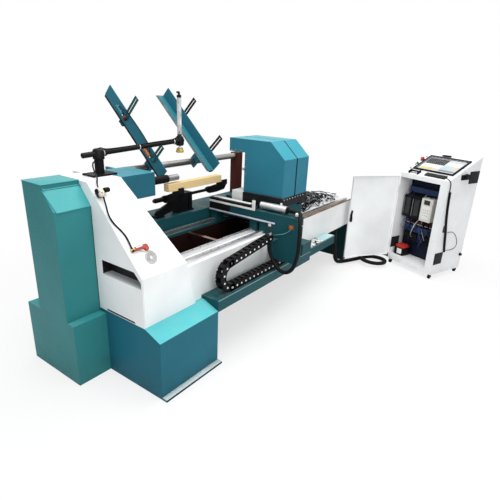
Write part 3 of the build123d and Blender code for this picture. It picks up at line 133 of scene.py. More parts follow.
def enamel(name, colour, rough=0.38, dust=0.06, dirt=0.3, second=None, lit=None, peel=0.08, gloss=0.2,
           top_highlight=None):
    """Sprayed paint with orange peel, sawdust on faces that look up and dirt near the floor.
    A second colour, with the axis and place where it starts, paints one end of a piece; lit is a painted
    highlight of that colour on the second part's faces that look up, and the top highlight a painted
    highlight of the first colour there."""
    f = Finish(name, rough, 0.0, gloss)
    clouds = f.noise(2.6, 5.0)
    specks = f.noise(75.0, 4.0)
    tone = f.mix(f.between(clouds, 0.3, 0.7), shade(colour, 0.9), shade(colour, 1.07))
    # faces that look up are painted lighter: a painted highlight
    if top_highlight:
        tone = f.mix(f.facing_up(0.35, 0.72), tone, top_highlight + (1.0,))
    if second:
        other, axis, place, width = second
        end = f.between(f.axis(axis), place - width, place + width)
        far = f.mix(f.between(clouds, 0.3, 0.7), shade(other, 0.85), shade(other, 1.1))
        if lit:
            far = f.mix(f.facing_up(), far, lit)
        tone = f.mix(end, tone, far)
    if not second:
        tone = f.mix(f.between(specks, 0.58, 0.75, 0.0, 0.14), tone, shade(colour, 0.7))
    dusted = f.times(f.facing_up(), f.between(f.noise(11.0, 6.0), 0.42, 0.72, 0.0, dust))
    tone = f.mix(dusted, tone, SAWDUST)
    low = f.between(f.axis("Z"), 0.0, 0.16, dirt, 0.0)
    tone = f.mix(f.times(low, f.between(f.noise(14.0, 5.0), 0.35, 0.65)), tone, SHOP_DIRT)
    f.roughness(f.between(specks, 0.3, 0.7, rough - 0.06, rough + 0.1))
    f.bump(f.noise(330.0, 2.0), peel, 0.0006, edge=0.0022)
    return f.colour(tone)


def ground_metal(name, colour, rough=0.28, grain=(5.0, 420.0, 420.0), stain=0.25, edge=0.0012):
    """Bare metal with grinding or turning lines along one way, and dull stains."""
    f = Finish(name, rough, 1.0, 0.5)
    lines = f.noise(1.0, 5.0, f.scaled(grain))
    stains = f.noise(8.0, 6.0)
    tone = f.mix(f.between(lines, 0.3, 0.7), shade(colour, 0.82), shade(colour, 1.12))
    tone = f.mix(f.between(stains, 0.52, 0.75, 0.0, stain), tone, shade(colour, 0.45))
    f.roughness(f.between(lines, 0.25, 0.75, rough - 0.08, rough + 0.14))
    f.bump(lines, 0.12, 0.0004, edge=edge)
    return f.colour(tone)


def moulded(name, colour, rough=0.45, grain=700.0, depth=0.12, edge=0.0012, dust=0.0, gloss=0.3, mottle=0.15):
    """Moulded plastic, rubber or sleeve with a fine grain."""
    f = Finish(name, rough, 0.0, gloss)
    fine = f.noise(grain, 3.0)
    clouds = f.noise(16.0, 5.0)
    tone = f.mix(f.between(clouds, 0.3, 0.7), shade(colour, 1.0 - mottle), shade(colour, 1.0 + mottle))
    if dust:
        dusted = f.times(f.facing_up(), f.between(f.noise(20.0, 5.0), 0.4, 0.7, 0.0, dust))
        tone = f.mix(dusted, tone, SAWDUST)
    f.roughness(f.between(clouds, 0.3, 0.7, rough - 0.07, rough + 0.09))
    f.bump(fine, depth, 0.0004, edge=edge)
    return f.colour(tone)


def sawn_wood(name, early, late):
    """Planed beech or pine with rings along X and fibres."""
    f = Finish(name, 0.55, 0.0, 0.3)
    wander = f.scaled((1.1, 34.0, 34.0), shift=(0.4, 1.7, -31.5))
    rings = f.put("ShaderNodeTexWave", {"Vector": wander, "Scale": 0.9, "Distortion": 3.2, "Detail": 3.0},
                  wave_type="RINGS", rings_direction="X").outputs["Fac"]
    fibres = f.noise(1.0, 4.0, f.scaled((9.0, 700.0, 700.0)))
    tone = f.mix(f.between(rings, 0.15, 0.9), early, late)
    tone = f.mix(f.between(fibres, 0.5, 0.8, 0.0, 0.35), tone, shade(late, 0.7))
    f.roughness(f.between(fibres, 0.3, 0.7, 0.45, 0.65))
    f.bump(fibres, 0.25, 0.0006, edge=0.002)
    return f.colour(tone)


TOWER_TEAL = (0.032, 0.205, 0.215)
BODY_TEAL = (0.024, 0.160, 0.225)
# the next colour is the teal painted darker as painted shade, for parts under the bed and the carriage
SHADED_TEAL = (0.009, 0.068, 0.080)
HEAD_TEAL = (0.018, 0.120, 0.170)
WHITE = (0.84, 0.85, 0.85)
BLACK = (0.010, 0.010, 0.011)

# the last colour of each of the next four teals is a painted highlight on faces that look up
tower_teal = enamel("tower_teal", TOWER_TEAL, gloss=0.14, top_highlight=(0.045, 0.32, 0.33))
body_teal = enamel("body_teal", shade(BODY_TEAL, 1.2), gloss=0.16, top_highlight=(0.032, 0.30, 0.385))
base_teal = enamel("base_teal", (0.017, 0.132, 0.184), gloss=0.08, top_highlight=(0.10, 0.49, 0.52))
channel_teal = enamel("channel_teal", BODY_TEAL, gloss=0.14, top_highlight=(0.035, 0.20, 0.25))
bracket_enamel = enamel("bracket_enamel", WHITE, gloss=0.2, second=(BODY_TEAL, "X", 0.15, 0.01))
# painted shade: the teal darkened for parts in shade, and darkened further for the legs
shaded_teal = enamel("shaded_teal", SHADED_TEAL, 0.45, dust=0.1, gloss=0.12)
dark_shaded_teal = enamel("dark_shaded_teal", (0.005, 0.026, 0.032), 0.5, dust=0.05, gloss=0.08)
# the teal end is two-tone paint; its lighter teal on faces that look up is a painted highlight
head_enamel = enamel("head_enamel", WHITE, gloss=0.14, second=(HEAD_TEAL, "X", -0.018, 0.002),
                     lit=(0.03, 0.24, 0.31, 1.0))
white_enamel = enamel("white_enamel", WHITE, 0.36, dust=0.03, dirt=0.18, gloss=0.3)
# the end panel is white; inside its recess, past x = -0.2565 m, it is painted black as painted shade, and
# light grey on faces that look up as painted light
recess_shade_panel = enamel("recess_shade_panel", WHITE, 0.36, dust=0.0, dirt=0.18, gloss=0.3,
                             second=(BLACK, "X", -0.2565, 0.0015), lit=(0.72, 0.73, 0.74, 1.0))
black_enamel = enamel("black_enamel", (0.006, 0.006, 0.007), 0.42, dust=0.03, dirt=0.1, gloss=0.08)
table_enamel = enamel("table_enamel", BLACK, 0.4, gloss=0.16, second=(WHITE, "Y", -0.235, 0.002))
gate_enamel = enamel("gate_enamel", (0.012, 0.075, 0.082), 0.4, second=(BLACK, "X", 0.85, 0.1), gloss=0.15)
primer = enamel("primer_paint", (0.075, 0.018, 0.013), 0.6, dust=0.1, gloss=0.1)
# the trough's dark red-brown, made darker still as painted shade of the deep trough
trough_brown_and_shade = enamel("trough_brown_and_shade", (0.016, 0.006, 0.005), 0.7, dust=0.1, gloss=0.06)
rib_paint = enamel("rib_paint", (0.20, 0.13, 0.12), 0.6, dust=0.3, gloss=0.1)
rust_brown = enamel("rust_brown", (0.14, 0.075, 0.04), 0.6, dust=0.4, gloss=0.1)
plate_blue = enamel("plate_blue", (0.050, 0.085, 0.19), 0.45, dust=0.0, gloss=0.15)
lavender_grey = enamel("lavender_grey", (0.64, 0.62, 0.72), 0.4, dust=0.05)
cast_grey = enamel("cast_grey", (0.06, 0.065, 0.07), 0.55, dust=0.1)
bright_steel = ground_metal("bright_steel", (0.60, 0.61, 0.63), 0.3)
rail_steel = ground_metal("rail_steel", (0.74, 0.74, 0.75), 0.32, stain=0.22)
bar_steel = ground_metal("bar_steel", (0.36, 0.34, 0.32), 0.34, stain=0.5)
turned_steel = ground_metal("turned_steel", (0.52, 0.53, 0.55), 0.3, grain=(900.0, 12.0, 12.0))
nose_steel = ground_metal("nose_steel", (0.33, 0.34, 0.36), 0.34, grain=(900.0, 12.0, 12.0))
anodised = ground_metal("anodised", (0.74, 0.74, 0.75), 0.36, grain=(300.0, 4.0, 300.0), stain=0.15)
brass = ground_metal("brass", (0.62, 0.45, 0.14), 0.34, grain=(60.0, 60.0, 500.0))
black_plastic = moulded("black_plastic", (0.007, 0.007, 0.008), 0.45, gloss=0.09)
chain_plastic = moulded("chain_plastic", (0.007, 0.007, 0.008), 0.48, gloss=0.1, dust=0.03)
black_rubber = moulded("black_rubber", (0.006, 0.006, 0.007), 0.5, 500.0, 0.2, dust=0.03, gloss=0.1)
white_plastic = moulded("white_plastic", (0.80, 0.80, 0.77), 0.38, mottle=0.05)
worn_white = moulded("worn_white", (0.60, 0.60, 0.58), 0.45, 160.0, 0.2, mottle=0.35)
cream_plastic = moulded("cream_plastic", (0.72, 0.69, 0.62), 0.4, mottle=0.05)
grey_plastic = moulded("grey_plastic", (0.22, 0.225, 0.24), 0.4)
dark_grey = moulded("dark_grey", (0.035, 0.036, 0.038), 0.5, gloss=0.15)
red_plastic = moulded("red_plastic", (0.50, 0.030, 0.022), 0.35)
gun_red = moulded("gun_red", (0.34, 0.050, 0.035), 0.45, 90.0, 0.3, mottle=0.55)
oxblood = moulded("oxblood", (0.055, 0.010, 0.012), 0.5, gloss=0.15)
orange_plastic = moulded("orange_plastic", (0.42, 0.11, 0.03), 0.4)
green_plastic = moulded("green_plastic", (0.02, 0.26, 0.07), 0.35)
yellow_plastic = moulded("yellow_plastic", (0.70, 0.54, 0.14), 0.4)
screen_glass = moulded("screen_glass", (0.55, 0.56, 0.58), 0.2, 900.0, 0.03, mottle=0.04)
screen_dark = moulded("screen_dark", (0.030, 0.032, 0.036), 0.22, 900.0, 0.03, mottle=0.08)
# a pale teal-grey laid on the foot's top as a painted highlight
foot_top_highlight = enamel("foot_top_highlight", (0.60, 0.68, 0.68), 0.45, dust=0.05, dirt=0.0)
# the lid's teal is the tower's teal painted lighter: a painted highlight of its upward face
lid_highlight_teal = enamel("lid_highlight_teal", (0.055, 0.33, 0.34), 0.34)
arm_black = enamel("arm_black", (0.005, 0.005, 0.006), 0.34, dust=0.03, gloss=0.14)
# lighter strips laid on edges as painted highlights
edge_highlight = enamel("edge_highlight", (0.20, 0.30, 0.31), 0.5, dust=0.1)
pale_sheet = moulded("pale_sheet", (0.42, 0.60, 0.62), 0.4, mottle=0.08)
pale_teal_wire = moulded("pale_teal_wire", (0.10, 0.30, 0.32), 0.45)
trunk_blue = moulded("trunk_blue", (0.040, 0.075, 0.19), 0.5, gloss=0.15)
navy = moulded("navy", (0.008, 0.012, 0.030), 0.5, gloss=0.12)
yellow_green = moulded("yellow_green", (0.42, 0.50, 0.05), 0.45)
saw_chip = moulded("saw_chip", (0.60, 0.42, 0.22), 0.6, 300.0, 0.3, mottle=0.3)
beech = sawn_wood("beech", (0.83, 0.64, 0.34, 1.0), (0.72, 0.50, 0.22, 1.0))

node_finishes = {
    tower_teal: ("belt_tower", "motor_box"),
    body_teal: ("tool_hood",),
    base_teal: ("headstock_base",),
    channel_teal: ("loader_channels",),
    bracket_enamel: ("loader_brackets",),
    shaded_teal: ("back_beam", "carriage_saddle", "carriage_apron", "tailstock_body", "chain_tray"),
    dark_shaded_teal: ("bed_legs",),
    head_enamel: ("spindle_box",),
    white_enamel: ("headstock_pedestal", "front_beam", "cabinet_body", "cabinet_door"),
    recess_shade_panel: ("end_panel",),
    black_enamel: ("arm_post", "lift_rocker", "lifter_stand", "spindle_chuck", "castor_forks"),
    table_enamel: ("cross_table",),
    nose_steel: ("spindle_shaft",),
    gate_enamel: ("gate_upper", "gate_lower"),
    primer: ("bar_post",),
    trough_brown_and_shade: ("chip_trough",),
    rail_steel: ("bed_rails",),
    bar_steel: ("loader_bar",),
    turned_steel: ("spindle_bearings", "spindle_pulley", "motor_pulley", "tail_quill"),
    bright_steel: ("tool_post",),
    cast_grey: ("spindle_motor",),
    black_plastic: ("drive_belt",),
    black_rubber: ("castor_wheels_front", "castor_wheels_rear"),
    red_plastic: ("stop_button",),
    green_plastic: ("start_button",),
    beech: ("work_blank",),
}
for finish, names in node_finishes.items():
    for name in names:
        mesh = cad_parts[name].data
        mesh.materials.clear()
        mesh.materials.append(finish)


# ---------------------------------------------------------------- camera, light and floor

CAMERA_TURNS = (35.10, 20.26, 2.54)
CAMERA_PLACE = (-1.6884, -2.3400, 1.7793)
CAMERA_LENS = 30.227

yaw, pitch, roll = (math.radians(angle) for angle in CAMERA_TURNS)
look = Vector((math.cos(yaw) * math.cos(pitch), math.sin(yaw) * math.cos(pitch), -math.sin(pitch)))
level = Vector((math.sin(yaw), -math.cos(yaw), 0.0))
above = level.cross(look)
right = math.cos(roll) * level + math.sin(roll) * above
up = math.cos(roll) * above - math.sin(roll) * level
lens = bpy.data.cameras.new("photo_view")
lens.lens = CAMERA_LENS
lens.sensor_width = 36.0
lens.clip_end = 200.0
camera = bpy.data.objects.new("photo_view", lens)
camera.matrix_world = Matrix((
    (right.x, up.x, -look.x, CAMERA_PLACE[0]),
    (right.y, up.y, -look.y, CAMERA_PLACE[1]),
    (right.z, up.z, -look.z, CAMERA_PLACE[2]),
    (0.0, 0.0, 0.0, 1.0),
))
scene.collection.objects.link(camera)
scene.camera = camera


def soft_box(name, place, target, size, watts):
    """A large soft area lamp that looks at a point."""
    lamp = bpy.data.lights.new(name, "AREA")
    lamp.shape = "RECTANGLE"
    lamp.size, lamp.size_y = size
    lamp.energy = watts
    holder = bpy.data.objects.new(name, lamp)
    holder.location = place
    holder.rotation_euler = (Vector(target) - Vector(place)).to_track_quat("-Z", "Y").to_euler()
    holder.visible_camera = False
    scene.collection.objects.link(holder)


soft_box("top_light", (1.0, -0.9, 5.2), (1.0, -0.6, 0.8), (6.0, 4.5), 290.0)
soft_box("front_light", (-1.4, -5.2, 3.0), (1.2, -0.5, 0.7), (4.5, 3.0), 115.0)
soft_box("end_light", (-4.6, 0.6, 2.4), (0.0, -0.3, 0.8), (3.0, 3.0), 28.0)

# the room is white to the camera and in mirrors, and a weaker, cooler fill as light
world = bpy.data.worlds.new("white_room")
scene.world = world
world.use_nodes = True
sky = world.node_tree
sky.nodes.clear()
path = wired(sky, "ShaderNodeLightPath").outputs
mirrored = wired(sky, "ShaderNodeMath", {0: path["Is Glossy Ray"], 1: path["Is Transmission Ray"]},
                 operation="MAXIMUM")
seen = wired(sky, "ShaderNodeMath", {0: path["Is Camera Ray"], 1: mirrored.outputs[0]}, operation="MAXIMUM")
fill = wired(sky, "ShaderNodeBackground", {"Color": (0.94, 0.97, 1.0, 1.0), "Strength": 0.36})
shown = wired(sky, "ShaderNodeBackground", {"Color": (1.0, 1.0, 1.0, 1.0), "Strength": 1.0})
either = wired(sky, "ShaderNodeMixShader", {0: seen.outputs[0], 1: fill.outputs[0], 2: shown.outputs[0]})
wired(sky, "ShaderNodeOutputWorld", {0: either.outputs[0]})

floor_mesh = bpy.data.meshes.new("floor")
floor_mesh.from_pydata([(-40, -40, 0), (45, -40, 0), (45, 45, 0), (-40, 45, 0)], [], [(0, 1, 2, 3)])
floor = bpy.data.objects.new("floor", floor_mesh)
scene.collection.objects.link(floor)
floor_finish = bpy.data.materials.new("floor_white")
floor_finish.use_nodes = True
ground = floor_finish.node_tree
ground.nodes.clear()
# the floor glows evenly to the camera, fully so away from the machine, and takes soft shadows near it
matt = wired(ground, "ShaderNodeBsdfDiffuse", {"Color": (0.86, 0.86, 0.86, 1.0)})
glow = wired(ground, "ShaderNodeEmission")
ray = wired(ground, "ShaderNodeLightPath").outputs["Is Camera Ray"]
spot_on_floor = wired(ground, "ShaderNodeTexCoord").outputs["Object"]
reach = wired(ground, "ShaderNodeVectorMath", {0: spot_on_floor, 1: (1.3, -0.5, 0.0)}, operation="DISTANCE")
whiter = wired(ground, "ShaderNodeMapRange", {
    "Value": reach.outputs["Value"], "From Min": 1.2, "From Max": 3.2, "To Min": 0.62, "To Max": 1.0})
part_seen = wired(ground, "ShaderNodeMath", {0: ray, 1: whiter.outputs["Result"]}, operation="MULTIPLY")
mixed = wired(ground, "ShaderNodeMixShader", {
    0: part_seen.outputs[0], 1: matt.outputs[0], 2: glow.outputs[0]})
wired(ground, "ShaderNodeOutputMaterial", {0: mixed.outputs[0]})
floor_mesh.materials.append(floor_finish)


# ---------------------------------------------------------------- frames of the pieces, in mm

MM = 0.001


def frame_of(origin, x_way, y_way, z_way):
    """A matrix from mm along three ways to metres in the model's frame."""
    columns = [Vector(way).normalized() * MM for way in (x_way, y_way, z_way)]
    lines = [[columns[0][i], columns[1][i], columns[2][i], origin[i] * MM] for i in range(3)]
    return Matrix(lines + [[0.0, 0.0, 0.0, 1.0]])


ACROSS = Vector((-0.372988, -0.927836, 0.0))
INWARD = Vector((0.927836, -0.372988, 0.0))
MACHINE = frame_of((0, 0, 0), (1, 0, 0), (0, 1, 0), (0, 0, 1))
SLOPE = frame_of((0, -148, 1260), (1, 0, 0), (0, -450, -495), (0, -495, 450))
LID = frame_of((-378.5, -117, 1180.5), (1, 0, 0), (0, 98, 117), (0, -117, 98))
CABINET = frame_of((3028, -1004, 0), ACROSS, INWARD, (0, 0, 1))
CONSOLE = frame_of((3028, -1004, 1057), ACROSS, INWARD * 504 + Vector((0, 0, 224)),
                   -INWARD * 224 + Vector((0, 0, 504)))
LOADER = frame_of((0, 45, 1179), (0, 612, 594), (0, -594, 612), (1, 0, 0))
DOOR_ANGLE = -217.9
DOOR_WAY = Vector((math.cos(math.radians(DOOR_ANGLE)), math.sin(math.radians(DOOR_ANGLE)), 0.0))
DOOR = frame_of(Vector((3028, -1004, 0)) - INWARD * 9.0, DOOR_WAY, (-DOOR_WAY.y, DOOR_WAY.x, 0.0), (0, 0, 1))
# rows on the cabinet's faces: a side runs inward, up and across; the front runs across, up and inward
SIDE_FACE = CABINET @ Matrix(((0, 0, 1, 0), (1, 0, 0, 0), (0, 1, 0, 0), (0, 0, 0, 1)))
FRONT_FACE = CABINET @ Matrix(((1, 0, 0, 0), (0, 0, 1, 0), (0, 1, 0, 0), (0, 0, 0, 1)))


# ---------------------------------------------------------------- helpers

# edges that turn by more than the first are rounded, and by more than the second are drawn sharp, in radians
ROUNDED_OVER = 0.5
SHARP_ANGLE = math.radians(32)


def route_line(name, points, per_span=10):
    """A smooth line through a cord's route: a spline with the route's points as its control points."""
    curve = bpy.data.curves.new(name, "CURVE")
    curve.dimensions = "3D"
    curve.resolution_u = per_span
    spline = curve.splines.new("NURBS")
    spline.points.add(len(points) - 1)
    for knot, point in zip(spline.points, points):
        knot.co = (point[0] * MM, point[1] * MM, point[2] * MM, 1.0)
    spline.order_u = 3
    spline.use_endpoint_u = True
    return curve


def as_mesh(data):
    """The plain mesh that a curve or a mesh with modifiers shows."""
    holder = data if isinstance(data, bpy.types.Object) else bpy.data.objects.new("holder", data)
    if holder.name not in scene.collection.objects:
        scene.collection.objects.link(holder)
    seen_now = holder.evaluated_get(bpy.context.evaluated_depsgraph_get())
    mesh = bpy.data.meshes.new_from_object(seen_now)
    bpy.data.objects.remove(holder)
    return mesh


def read_line(curve):
    """Points along a route's spline, as it is drawn with no bevel."""
    line = as_mesh(curve)
    points = [vertex.co.copy() for vertex in line.vertices]
    bpy.data.meshes.remove(line)
    return points


def line_length(points):
    """How long a line through points is."""
    return sum((b - a).length for a, b in zip(points, points[1:]))


class Maker:
    """Draws one piece from shapes given in a frame's mm, each with its own finish."""

    def __init__(self, name, place=None):
        self.name = name
        self.place = place or MACHINE
        self.whole = bmesh.new()
        self.finishes = []

    def take(self, shape, finish, bevel=0.0, place=None):
        """Rounds a shape's edges, paints it, moves it into the model's frame and adds it to the piece."""
        if bevel:
            sharp = [edge for edge in shape.edges
                     if edge.is_manifold and edge.calc_face_angle(0.0) > ROUNDED_OVER]
            bmesh.ops.bevel(shape, geom=sharp, offset=bevel, segments=2, profile=0.5, affect="EDGES",
                            clamp_overlap=True)
        if finish not in self.finishes:
            self.finishes.append(finish)
        for face in shape.faces:
            face.material_index = self.finishes.index(finish)
            face.smooth = True
        bmesh.ops.recalc_face_normals(shape, faces=shape.faces)
        where = place or self.place
        shape.transform(where)
        if where.determinant() < 0.0:
            bmesh.ops.reverse_faces(shape, faces=shape.faces)
        part = bpy.data.meshes.new("part")
        shape.to_mesh(part)
        shape.free()
        self.whole.from_mesh(part)
        bpy.data.meshes.remove(part)

    def block(self, x0, x1, y0, y1, z0, z1, finish, bevel=1.0):
        shape = bmesh.new()
        middle = Matrix.Translation(((x0 + x1) / 2, (y0 + y1) / 2, (z0 + z1) / 2))
        bmesh.ops.create_cube(shape, matrix=middle @ Matrix.Diagonal((x1 - x0, y1 - y0, z1 - z0, 1.0)))
        self.take(shape, finish, bevel)

    def rod(self, start, end, radius, finish, sides=24, bevel=0.0):
        start, end = Vector(start), Vector(end)
        turn = (end - start).to_track_quat("Z", "Y").to_matrix().to_4x4()
        shape = bmesh.new()
        bmesh.ops.create_cone(shape, cap_ends=True, segments=sides, radius1=radius, radius2=radius,
                              depth=(end - start).length, matrix=Matrix.Translation((start + end) / 2) @ turn)
        self.take(shape, finish, bevel)

    def turned(self, start, way, profile, finish, sides=28):
        """A turned shape: rings of (along, radius) on a line."""
        turn = Vector(way).to_track_quat("Z", "Y").to_matrix().to_4x4()
        where = Matrix.Translation(start) @ turn
        shape = bmesh.new()
        rings = []
        for along, radius in profile:
            angles = [math.tau * i / sides for i in range(sides)]
            rings.append([shape.verts.new(where @ Vector((radius * math.cos(a), radius * math.sin(a), along)))
                          for a in angles])
        for low, high in zip(rings, rings[1:]):
            for i in range(sides):
                shape.faces.new((low[i], low[(i + 1) % sides], high[(i + 1) % sides], high[i]))
        shape.faces.new(rings[0][::-1])
        shape.faces.new(rings[-1])
        self.take(shape, finish)

    def slab(self, outline, low, high, axis, finish, bevel=1.0):
        """An outline in two axes, given thickness along the third."""
        shape = bmesh.new()
        ends = []
        for level_at in (low, high):
            corners = []
            for a, b in outline:
                corner = [a, b]
                corner.insert("xyz".index(axis), level_at)
                corners.append(shape.verts.new(corner))
            ends.append(corners)
        count = len(outline)
        shape.faces.new(ends[0][::-1])
        shape.faces.new(ends[1])
        for i in range(count):
            shape.faces.new((ends[0][i], ends[0][(i + 1) % count], ends[1][(i + 1) % count], ends[1][i]))
        self.take(shape, finish, bevel)

    def wire(self, points, radius, finish, per_span=6, rounds=2):
        """A fitted wire through points of the frame."""
        places = [tuple(self.place @ Vector(point) / MM) for point in points]
        curve = route_line("wire", places, per_span)
        curve.bevel_depth = radius * MM
        curve.bevel_resolution = rounds
        curve.use_fill_caps = True
        mesh = as_mesh(curve)
        shape = bmesh.new()
        shape.from_mesh(mesh)
        bpy.data.meshes.remove(mesh)
        self.take(shape, finish, place=Matrix())

    def add(self, mesh):
        """A mesh of finished shapes, in metres, with its own finishes."""
        order = []
        for finish in mesh.materials:
            if finish not in self.finishes:
                self.finishes.append(finish)
            order.append(self.finishes.index(finish))
        for polygon in mesh.polygons:
            polygon.material_index = order[polygon.material_index]
        self.whole.from_mesh(mesh)
        bpy.data.meshes.remove(mesh)

    def mesh(self):
        mesh = bpy.data.meshes.new(self.name)
        self.whole.to_mesh(mesh)
        self.whole.free()
        for finish in self.finishes:
            mesh.materials.append(finish)
        mesh.set_sharp_from_angle(angle=SHARP_ANGLE)
        return mesh

    def done(self, body, slot, *nodes):
        """The finished piece rides a body and stands in for CAD nodes."""
        piece = bpy.data.objects.new(self.name, self.mesh())
        scene.collection.objects.link(piece)
        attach(piece, body)
        if nodes:
            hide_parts(*nodes)


class Tree:
    """A geometry node tree with named inputs, run on a mesh and made into a plain mesh."""

    def __init__(self, name, **inputs):
        self.tree = bpy.data.node_groups.new(name, "GeometryNodeTree")
        self.tree.interface.new_socket("Geometry", in_out="INPUT", socket_type="NodeSocketGeometry")
        self.tree.interface.new_socket("Geometry", in_out="OUTPUT", socket_type="NodeSocketGeometry")
        self.keys = {}
        for label, kind in inputs.items():
            made = self.tree.interface.new_socket(label.replace("_", " "), in_out="INPUT",
                                                  socket_type="NodeSocket" + kind)
            self.keys[label] = made.identifier
        self.given_node = self.tree.nodes.new("NodeGroupInput")

    def given(self, label):
        return self.given_node.outputs[label.replace("_", " ")]

    def put(self, kind, wires=None, **fields):
        return wired(self.tree, kind, wires, **fields)

    def math(self, operation, a, b=0.0):
        return self.put("ShaderNodeMath", {0: a, 1: b}, operation=operation).outputs[0]

    def times(self, a, b):
        return self.math("MULTIPLY", a, b)

    def vector(self, x=0.0, y=0.0, z=0.0):
        return self.put("ShaderNodeCombineXYZ", {0: x, 1: y, 2: z}).outputs[0]

    def painted(self, geometry, finish):
        return self.put("GeometryNodeSetMaterial", {"Geometry": geometry, "Material": finish}).outputs[0]

    def moved(self, geometry, shift):
        return self.put("GeometryNodeTransform", {"Geometry": geometry, "Translation": shift}).outputs[0]

    def join(self, *parts):
        return self.put("GeometryNodeJoinGeometry", {0: list(parts)}).outputs[0]

    def end(self, geometry):
        real = self.put("GeometryNodeRealizeInstances", {0: geometry}).outputs[0]
        self.put("NodeGroupOutput", {0: real})
        return self

    def run(self, mesh, **values):
        holder = bpy.data.objects.new("seed", mesh)
        scene.collection.objects.link(holder)
        modifier = holder.modifiers.new("nodes", "NODES")
        modifier.node_group = self.tree
        for label, value in values.items():
            modifier[self.keys[label]] = value
        result = as_mesh(holder)
        bpy.data.meshes.remove(mesh)
        return result


def spots(places, way):
    """A mesh of loose points on the machine, each with the way it faces."""
    mesh = bpy.data.meshes.new("spots")
    mesh.from_pydata([MACHINE @ Vector(place) for place in places], [], [])
    facing = mesh.attributes.new("facing", "FLOAT_VECTOR", "POINT")
    for point in facing.data:
        point.vector = (MACHINE.to_3x3() @ Vector(way)).normalized()
    return mesh


def line_mesh(points):
    """A mesh line through points in metres."""
    mesh = bpy.data.meshes.new("line")
    mesh.from_pydata(points, [(i, i + 1) for i in range(len(points) - 1)], [])
    return mesh


def screw_head_tree():
    """A round head with a dark socket on every point, turned to the way the point faces."""
    tree = Tree("screw_heads", Head_Radius="Float", Head_Height="Float", Finish="Material",
                Socket_Finish="Material")
    radius, height = tree.given("Head_Radius"), tree.given("Head_Height")
    top_share, socket_share, socket_lift = 0.86, 0.52, 0.0002
    way = tree.put("GeometryNodeInputNamedAttribute", {"Name": "facing"}, data_type="FLOAT_VECTOR").outputs[0]
    turn = tree.put("FunctionNodeAlignRotationToVector", {"Vector": way}, axis="Z").outputs[0]
    cap = tree.put("GeometryNodeMeshCone", {
        "Vertices": 14, "Radius Bottom": radius, "Radius Top": tree.times(radius, top_share),
        "Depth": height})
    socket = tree.put("GeometryNodeMeshCircle", {
        "Vertices": 6, "Radius": tree.times(radius, socket_share)}, fill_type="NGON")
    lifted = tree.moved(socket.outputs[0], tree.vector(z=tree.math("ADD", height, socket_lift)))
    head = tree.join(tree.painted(cap.outputs["Mesh"], tree.given("Finish")),
                     tree.painted(lifted, tree.given("Socket_Finish")))
    points = tree.put("GeometryNodeMeshToPoints", {"Mesh": tree.given("Geometry")}).outputs[0]
    return tree.end(tree.put("GeometryNodeInstanceOnPoints", {
        "Points": points, "Instance": head, "Rotation": turn}).outputs[0])


def chain_link_tree():
    """Two outer plates, two inner plates, two cross bars and pale pin ends at every pitch along a line."""
    tree = Tree("chain_links", Pitch="Float", Width="Float", Height="Float", Finish="Material",
                Pin_Finish="Material")
    pitch, width, height = tree.given("Pitch"), tree.given("Width"), tree.given("Height")
    plate_thickness, bar_thickness, pin_radius, pin_depth = 0.006, 0.005, 0.0070, 0.004
    outer_inset, inner_inset, pin_proud = 0.003, 0.0085, 0.0004
    line = tree.put("GeometryNodeMeshToCurve", {"Mesh": tree.given("Geometry")}).outputs[0]
    marks = tree.put("GeometryNodeCurveToPoints", {"Curve": line, "Length": pitch}, mode="LENGTH")
    turn = tree.put("FunctionNodeAlignRotationToVector", {"Vector": marks.outputs["Tangent"]},
                    axis="X", pivot_axis="Y").outputs[0]

    def plate(share_of_pitch, thick, tall):
        size = tree.vector(tree.times(pitch, share_of_pitch), thick, tall)
        return tree.put("GeometryNodeMeshCube", {"Size": size}).outputs["Mesh"]

    outer = plate(1.12, plate_thickness, height)
    inner = plate(0.9, plate_thickness, tree.times(height, 0.8))
    bar = plate(0.56, width, bar_thickness)
    pin_along_z = tree.put("GeometryNodeMeshCylinder", {
        "Vertices": 12, "Radius": pin_radius, "Depth": pin_depth})
    pin = tree.put("GeometryNodeTransform", {
        "Geometry": pin_along_z.outputs["Mesh"], "Rotation": (math.pi / 2, 0.0, 0.0)}).outputs[0]
    half = tree.times(width, 0.5)
    black, pale = [], []
    for side in (-1.0, 1.0):
        edge = tree.times(half, side)
        inset = tree.vector(y=tree.math("SUBTRACT", edge, side * outer_inset))
        deeper = tree.vector(tree.times(pitch, 0.5), tree.math("SUBTRACT", edge, side * inner_inset))
        rise = tree.vector(z=tree.times(height, side * 0.45))
        outside = tree.vector(y=tree.math("ADD", edge, side * pin_proud))
        black += [tree.moved(outer, inset), tree.moved(inner, deeper), tree.moved(bar, rise)]
        pale.append(tree.moved(pin, outside))
    link = tree.join(tree.painted(tree.join(*black), tree.given("Finish")),
                     tree.painted(tree.join(*pale), tree.given("Pin_Finish")))
    return tree.end(tree.put("GeometryNodeInstanceOnPoints", {
        "Points": marks.outputs["Points"], "Instance": link, "Rotation": turn}).outputs[0])


